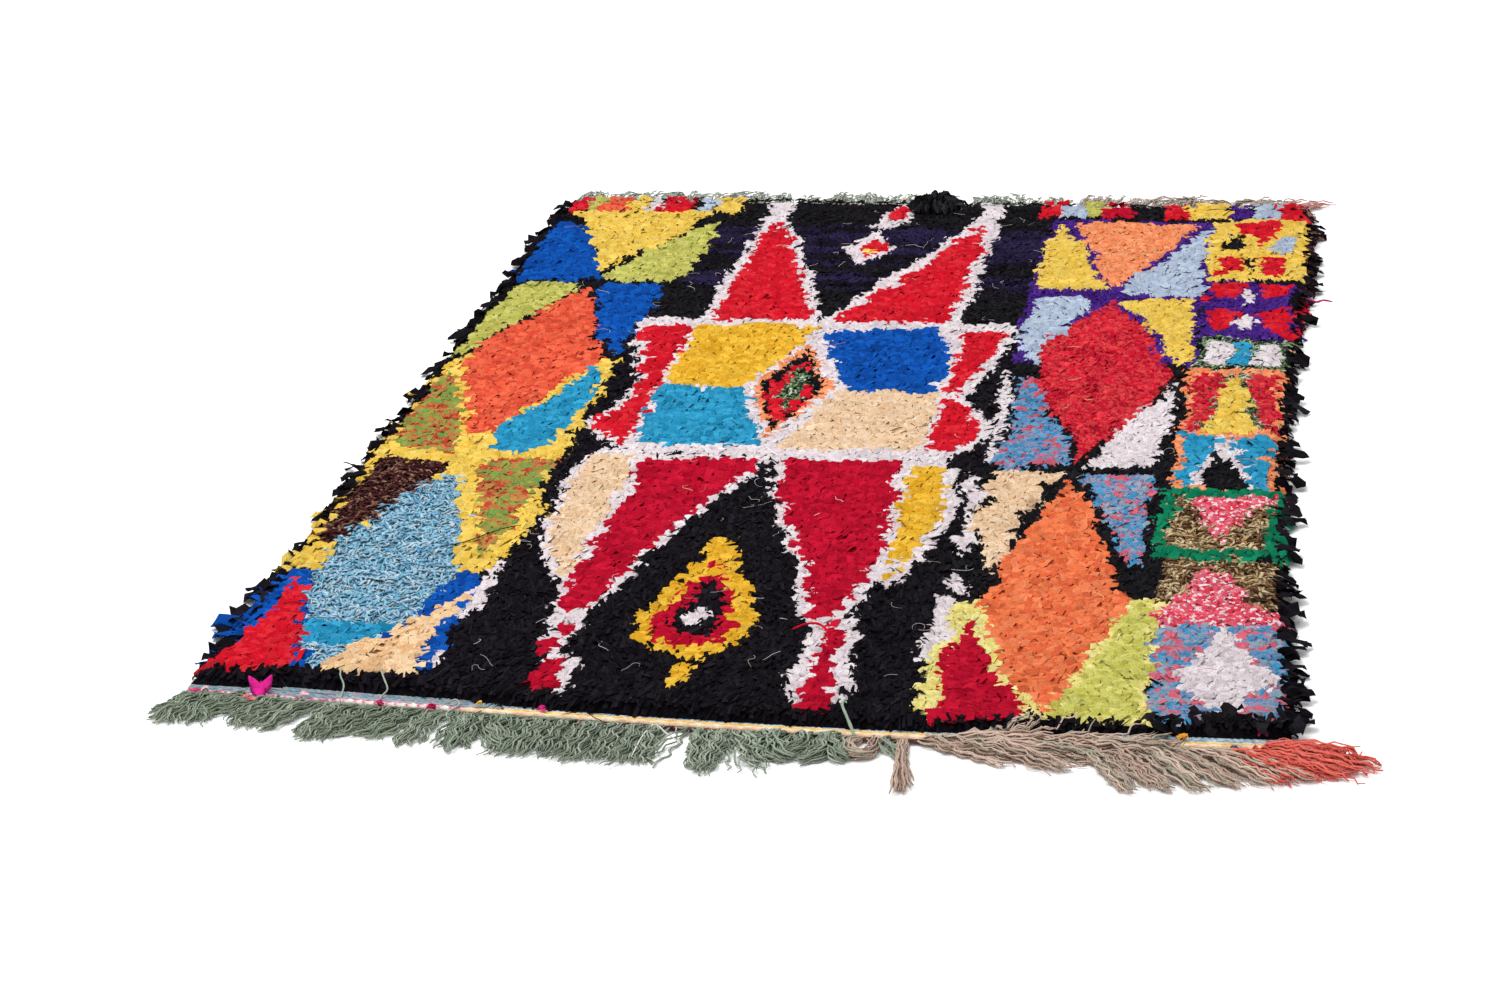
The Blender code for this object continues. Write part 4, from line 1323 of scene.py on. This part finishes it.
SCRAPS = (
    Scrap((-0.734, -1.115), 0.010, "#c93a70"),
    Scrap((-0.722, -1.110), 0.007, "#e3c4c8"),
    Scrap((-0.655, -1.128), 0.011, "#d5757a"),
    Scrap((-0.580, -1.110), 0.007, "#e6b9bf"),
    Scrap((-0.393, -1.130), 0.013, "#b82456"),
    Scrap((-0.470, -1.128), 0.007, "#c8386e"),
    Scrap((-0.247, -1.122), 0.007, "#cf2f74"),
    Scrap((-0.333, -1.116), 0.006, "#d9b24c"),
    Scrap((0.600, -1.122), 0.010, "#dd9c3a"),
    Scrap((0.700, -1.100), 0.009, "#a8205c"),
)
MAGENTA_HORNS = (
    (((-0.644, -1.108, 0.008), (-0.649, -1.101, 0.015), (-0.656, -1.096, 0.021), (-0.663, -1.092, 0.027)),
     (0.0085, 0.0105, 0.0065, 0.0010)),
    (((-0.646, -1.108, 0.008), (-0.641, -1.101, 0.015), (-0.635, -1.096, 0.021), (-0.631, -1.092, 0.030)),
     (0.0085, 0.0105, 0.0070, 0.0010)),
    (((-0.646, -1.099, 0.017), (-0.645, -1.105, 0.012), (-0.643, -1.112, 0.009), (-0.640, -1.118, 0.007)),
     (0.0100, 0.0105, 0.0072, 0.0025)),
)


@dataclass
class Trimmings:
    """What is loose on the rug: rag ends at its sides, the black bunch, threads, yarn ends and scraps."""

    outline: Outline
    pile: Pile
    chart: Chart
    lumps: float = 0.65
    seed: int = 501

    def side_rags(self) -> list[bpy.types.Object]:
        """The rag ends that stick out from both sides."""
        pieces = []
        for side, spans in ((-1, LEFT_SPANS), (1, RIGHT_SPANS)):
            rng = np.random.default_rng([self.seed, side + 1])
            roots, ends, widths, rags = [], [], [], []
            for span in spans:
                y = np.arange(span.start, span.stop, span.every)
                y = y + rng.uniform(-0.5, 0.5, len(y)) * span.every
                edge = self.outline.left(y) if side < 0 else self.outline.right(y)
                clumped = 1 + self.lumps * wander(y, y * 0, 0.030, side + 93)
                reach = span.reach * rng.uniform(0.15, 1.55, len(y)) * clumped
                roots.append(np.stack([edge - side * 0.012, y], -1))
                ends.append(np.stack([edge + side * reach, y + reach * rng.normal(0.05, 0.45, len(y))], -1))
                widths.append(span.wide * rng.uniform(0.6, 1.3, len(y)))
                rags.append(np.full(len(y), list(Rag).index(span.rag)))
            roots, ends, widths, rags = (np.concatenate(part) for part in (roots, ends, widths, rags))
            dyes, flecks = rag_colours(rags, roots[:, 0], roots[:, 1], rng)
            rings = self.strips(roots, ends, widths, rng)
            name = "left_side_rags" if side < 0 else "right_side_rags"
            finish = RagFinish("loose_cotton_rag").material()
            pieces.append(Strands(rings, dyes, flecks, False).piece(name, finish))
        return pieces

    def strips(
        self, roots: np.ndarray, ends: np.ndarray, widths: np.ndarray, rng: np.random.Generator
    ) -> np.ndarray:
        """Crumpled strips from the pile's foot out over the floor.

        Args:
            roots: where each leaves the pile, across and along.
            ends: where each ends.
            widths: how wide each is.
            rng: where the chances come from.

        Returns:
            The rings of the strips.
        """
        steps = np.linspace(0, 1, 5)
        flat = roots[:, None] + (ends - roots)[:, None] * steps[None, :, None]
        flat = flat + rng.normal(0, 0.0018, flat.shape) * (steps > 0)[None, :, None]
        top = rng.uniform(0.009, 0.019, (len(roots), 1))
        low = rng.uniform(0.003, 0.013, (len(roots), 1))
        z = top + (low - top) * steps[None] ** 1.4 + 0.003 * np.sin(steps * np.pi)[None]
        paths = np.concatenate([flat, z[..., None]], -1)
        half = widths[:, None] / 2 * rng.uniform(0.75, 1.2, (len(roots), 5)) * np.array([0.8, 1, 1, 1, 0.9])
        side = np.stack([-(ends - roots)[:, 1], (ends - roots)[:, 0], 0 * widths], -1)
        side = side / np.linalg.norm(side, axis=-1, keepdims=True)
        tilt = rng.normal(0, 0.34, (len(roots), 5)) + rng.normal(0, 0.24, (len(roots), 1))
        across = side[:, None] * np.cos(tilt)[..., None] + np.array([0, 0, 1.0]) * np.sin(tilt)[..., None]
        lifted = np.array([0, 0, 1.0]) * np.cos(tilt)[..., None] - side[:, None] * np.sin(tilt)[..., None]
        fold = rng.normal(0.0, 0.0024, (len(roots), 5))
        fold = np.where(np.abs(fold) < 0.0006, 0.0009, fold)[..., None]
        rings = np.stack([
            paths - across * half[..., None], paths + lifted * fold, paths + across * half[..., None],
            paths + lifted * (fold - 0.0012),
        ], 2)
        rings[..., 2] = np.maximum(rings[..., 2], 0.0008)
        return rings

    def black_bunch(self) -> bpy.types.Object:
        """The bunch of long black rags at the far end."""
        rng = np.random.default_rng(self.seed + 5)
        count = 130
        turn, out = rng.uniform(0, 2 * np.pi, count), 0.030 * np.sqrt(rng.uniform(0, 1, count))
        roots = np.stack([0.012 + 1.15 * out * np.cos(turn), 1.066 + 0.8 * out * np.sin(turn)], -1)
        away = turn + rng.normal(0, 0.5, count)
        reach = rng.uniform(0.010, 0.030, count)
        steps = np.linspace(0, 1, 5)
        shape_u = np.array([0, 0.10, 0.35, 0.75, 1.0])
        top = rng.uniform(0.030, 0.0465, count) * (1 - 0.45 * out / 0.030)
        shape_z = np.array([0, 0.65, 1.0, 0.85, 0.35])
        flat = roots[:, None] + (shape_u[None] * reach[:, None])[..., None] * np.stack(
            [np.cos(away), np.sin(away)], -1
        )[:, None]
        z = 0.015 + shape_z[None] * top[:, None] + rng.normal(0, 0.001, (count, 5))
        paths = np.concatenate([flat + rng.normal(0, 0.0012, flat.shape), z[..., None]], -1)
        radii = rng.uniform(0.0026, 0.0046, (count, 1)) * np.interp(steps, (0, 0.8, 1), (0.8, 1, 0.6))[None]
        rings = sweep(paths, radii, 3)
        hues = hues_of(("#1a181b", "#262428", "#121113", "#343236"))
        dyes = hues[rng.integers(0, len(hues), count)]
        return Strands(rings, dyes, dyes * 0.7, False).piece("black_bunch", bale_finish("black"))

    def yarn_ends(self) -> bpy.types.Object:
        """The yarn ends and threads that lie over the rug's edge, on smooth paths through their places."""
        stations = 14
        rng = np.random.default_rng([self.seed, 9, stations])
        steps = np.linspace(0, 1, stations)
        ends = np.interp(steps, (0, 0.12, 0.88, 1), (0.55, 1, 1, 0.45))
        paths = np.array([smooth_path(np.array(strand.places), stations) for strand in YARN_ENDS])
        radii = np.array([strand.radius * ends * rng.uniform(0.85, 1.15, stations) for strand in YARN_ENDS])
        hues = hues_of(tuple(strand.dye for strand in YARN_ENDS))
        finish = RagFinish("loose_yarn_end", crumple=6 * MM, thread=2.0 * MM, fleck=0.15)
        return Strands(sweep(paths, radii, 5), hues, hues * 0.8).piece("yarn_ends", finish.material())

    def scraps(self) -> bpy.types.Object:
        """The small scraps of rag that are caught in the near band."""
        rng = np.random.default_rng(self.seed + 33)
        corners = 5
        middles = np.repeat(np.array([scrap.place for scrap in SCRAPS]), corners, 0)
        reach = np.repeat(np.array([scrap.reach for scrap in SCRAPS]), corners)
        reach = reach * rng.uniform(0.6, 1.1, len(middles))
        hues = np.repeat(hues_of(tuple(scrap.dye for scrap in SCRAPS)), corners, 0)
        turn = rng.uniform(0, 2 * np.pi, len(middles))
        out = np.stack([np.cos(turn), 0.6 * np.sin(turn)], -1)
        rings = self.strips(
            middles - 0.25 * reach[:, None] * out, middles + reach[:, None] * out, 0.9 * reach, rng
        )
        rings[..., 2] = 0.0080 + 0.45 * rings[..., 2]
        return Strands(rings, hues, hues * 0.7, False).piece(
            "band_scraps", RagFinish("knotted_jersey_scrap", crumple=4 * MM).material()
        )

    def magenta_scrap(self) -> bpy.types.Object:
        """The folded scrap of magenta rag that is knotted in the near band and stands on two horns."""
        steps = np.linspace(0, 1, 9)
        places = np.array([smooth_path(np.array(run), 9) for run, _ in MAGENTA_HORNS])
        radii = np.array([np.interp(steps * 3, np.arange(4), widths) for _, widths in MAGENTA_HORNS])
        turn = np.arange(8) / 8 * 2 * np.pi
        phase = 2.9 * steps[None, :, None] + np.arange(3)[:, None, None]
        creased = 1 + 0.30 * np.cos(3 * turn[None, None] + phase)
        rings = places[:, :, None] + (radii[..., None] * creased)[..., None] * np.stack(
            [np.cos(turn), 0.42 * np.sin(turn), 0.35 * np.sin(turn)], -1
        )
        hues = hues_of(("#d9288c",) * 3)
        finish = RagFinish("magenta_jersey_rag", roughness=0.8, crumple=6 * MM, fleck=0.25)
        return Strands(rings, hues, hues * 0.7).piece(
            "magenta_rag_scrap", finish.material(), node="magenta_scrap", slot="magenta_rag"
        )

    def big_flakes(self) -> bpy.types.Object:
        """The large black rags over the near border, towards the right corner."""
        rng = np.random.default_rng(self.seed + 21)
        count = 34
        x = np.concatenate([rng.uniform(0.56, 0.735, count - 12), rng.uniform(0.605, 0.665, 12)])
        y = np.concatenate([rng.uniform(-1.095, -1.076, count - 12), rng.uniform(-1.085, -1.052, 12)])
        roots = np.stack([x, y], -1)
        away = rng.normal(-1.2, 0.9, count)
        reach = rng.uniform(0.014, 0.030, count)[:, None]
        ends = roots + reach * np.stack([np.cos(away), np.sin(away)], -1)
        rings = self.strips(roots, ends, rng.uniform(0.014, 0.026, count), rng)
        rings[..., 2] += 0.0075
        hues = hues_of(("#1a181b", "#232126", "#131214"))[rng.integers(0, 3, count)]
        return Strands(rings, hues, hues * 0.7, False).piece("large_black_rags", bale_finish("black"))

    def threads(
        self, name: str, places: np.ndarray, radius: float, length: float, dyes: tuple[str, ...], lift: float
    ) -> bpy.types.Object:
        """Loose threads that lie curled on the pile.

        Args:
            name: the piece's name.
            places: where they lie.
            radius: how thick they are.
            length: about how long they are.
            dyes: their colours.
            lift: how far above the knots they lie.

        Returns:
            The joined threads.
        """
        rng = np.random.default_rng([self.seed, len(name)])
        count, stations = len(places), 9
        steps = np.linspace(0, 1, stations)
        heading = rng.uniform(0, 2 * np.pi, (count, 1)) + rng.normal(0, 2.0, (count, 1)) * steps[None]
        heading = heading + rng.normal(0, 0.5, (count, 1)) * np.sin(steps * 7)[None]
        step = length * rng.uniform(0.5, 1.5, (count, 1)) / (stations - 1)
        x = places[:, :1] + np.cumsum(np.cos(heading) * step, 1)
        y = places[:, 1:] + np.cumsum(np.sin(heading) * step, 1)
        z = self.pile.bed_at(x, y) + lift + 0.0012 * np.sin(steps * np.pi)[None]
        paths = np.stack([x, y, z], -1)
        hues = hues_of(dyes)[rng.integers(0, len(dyes), count)]
        rings = sweep(paths, np.full((count, stations), radius), 3)
        return Strands(rings, hues, hues * 0.9).piece(name, RagFinish("loose_thread", fleck=0.1).material())

    def build(self) -> list[bpy.types.Object]:
        """Makes all the loose things."""
        rng = np.random.default_rng(self.seed + 9)
        places = np.stack([rng.uniform(-0.72, 0.72, 900), rng.uniform(-1.07, 1.05, 900)], -1)
        rags = self.chart.rags_at(places[:, 0], places[:, 1])
        dark = places[rags <= 2][:80]
        bright = places[rags > 2][:70]
        pieces = [*self.side_rags(), self.black_bunch(), self.big_flakes()]
        lint, ends = ("#d2ccd0", "#b4aeb2", "#c6bda8"), ("#e6dcd2", "#d9c9a0", "#c86a5a")
        pieces.append(self.threads("white_lint", dark, 0.00032, 0.030, lint, 0.0075))
        pieces.append(self.threads("stray_threads", bright, 0.00036, 0.026, ends, 0.0085))
        return [*pieces, self.yarn_ends(), self.scraps()]


@dataclass
class Studio:
    """The pale floor, the soft light and the camera at the photograph's angle."""

    eye: tuple[float, float, float] = (0.743, -4.558, 1.798)
    turn: float = -11.41
    dip: float = 22.83
    roll: float = -2.73
    lens: float = 71.84
    sensor: float = 36.0

    def camera(self) -> None:
        """Sets the camera."""
        turn, dip, roll = (math.radians(angle) for angle in (self.turn, self.dip, self.roll))
        look = Vector((math.sin(turn) * math.cos(dip), math.cos(turn) * math.cos(dip), -math.sin(dip)))
        level = Vector((math.cos(turn), -math.sin(turn), 0))
        up = level.cross(look)
        right = level * math.cos(roll) + up * math.sin(roll)
        up = right.cross(look)
        turned = Matrix((right, up, -look)).transposed().to_4x4()
        data = bpy.data.cameras.new("camera")
        data.lens = self.lens
        data.sensor_width = self.sensor
        camera = bpy.data.objects.new("camera", data)
        camera.matrix_world = Matrix.Translation(self.eye) @ turned
        bpy.context.scene.collection.objects.link(camera)
        bpy.context.scene.camera = camera

    def floor(self) -> None:
        """Lays the floor."""
        bm = bmesh.new()
        bmesh.ops.create_grid(bm, x_segments=1, y_segments=1, size=30)
        material, _, shader = new_material("pale_floor")
        shader.inputs["Base Color"].default_value = linear("#ffffff")
        shader.inputs["Roughness"].default_value = 1.0
        shader.inputs["Specular IOR Level"].default_value = 0.0
        floor = bpy.data.objects.new("floor", finished(bm, "floor", material))
        bpy.context.scene.collection.objects.link(floor)

    def light(self) -> None:
        """Sets the soft white light: a bright room and one wide panel above."""
        world = bpy.data.worlds.new("studio")
        world.use_nodes = True
        world.node_tree.nodes["Background"].inputs["Color"].default_value = (1, 1, 1, 1)
        world.node_tree.nodes["Background"].inputs["Strength"].default_value = 0.75
        bpy.context.scene.world = world
        for name, place, size, power in (
            ("panel_over", (-1.2, -0.6, 3.4), 2.4, 105),
            ("panel_back", (1.6, 3.2, 2.6), 2.0, 45),
        ):
            data = bpy.data.lights.new(name, "AREA")
            data.size = size
            data.energy = power
            lamp = bpy.data.objects.new(name, data)
            lamp.location = place
            lamp.rotation_euler = (Vector((0, 0, 0)) - Vector(place)).to_track_quat("-Z", "Y").to_euler()
            bpy.context.scene.collection.objects.link(lamp)
        bpy.context.scene.view_settings.view_transform = "Standard"


def main() -> None:
    """Builds the rug and its setting."""
    logging.basicConfig(level=logging.INFO, format="%(name)s: %(message)s")
    outline = Outline()
    chart = Chart(outline)
    studio = Studio()
    studio.camera()
    studio.floor()
    studio.light()
    pile = Pile(outline, chart)
    ground = Ground(outline, chart, pile)
    cloth = ground.cloth()
    knots = ground.knots()
    rows = ground.rows()
    fringes = Fringe(outline).build()
    trimmings = Trimmings(outline, pile, chart)
    tufts = [*pile.build(), *trimmings.build()]
    scrap = trimmings.magenta_scrap()


if __name__ == "__main__":
    main()
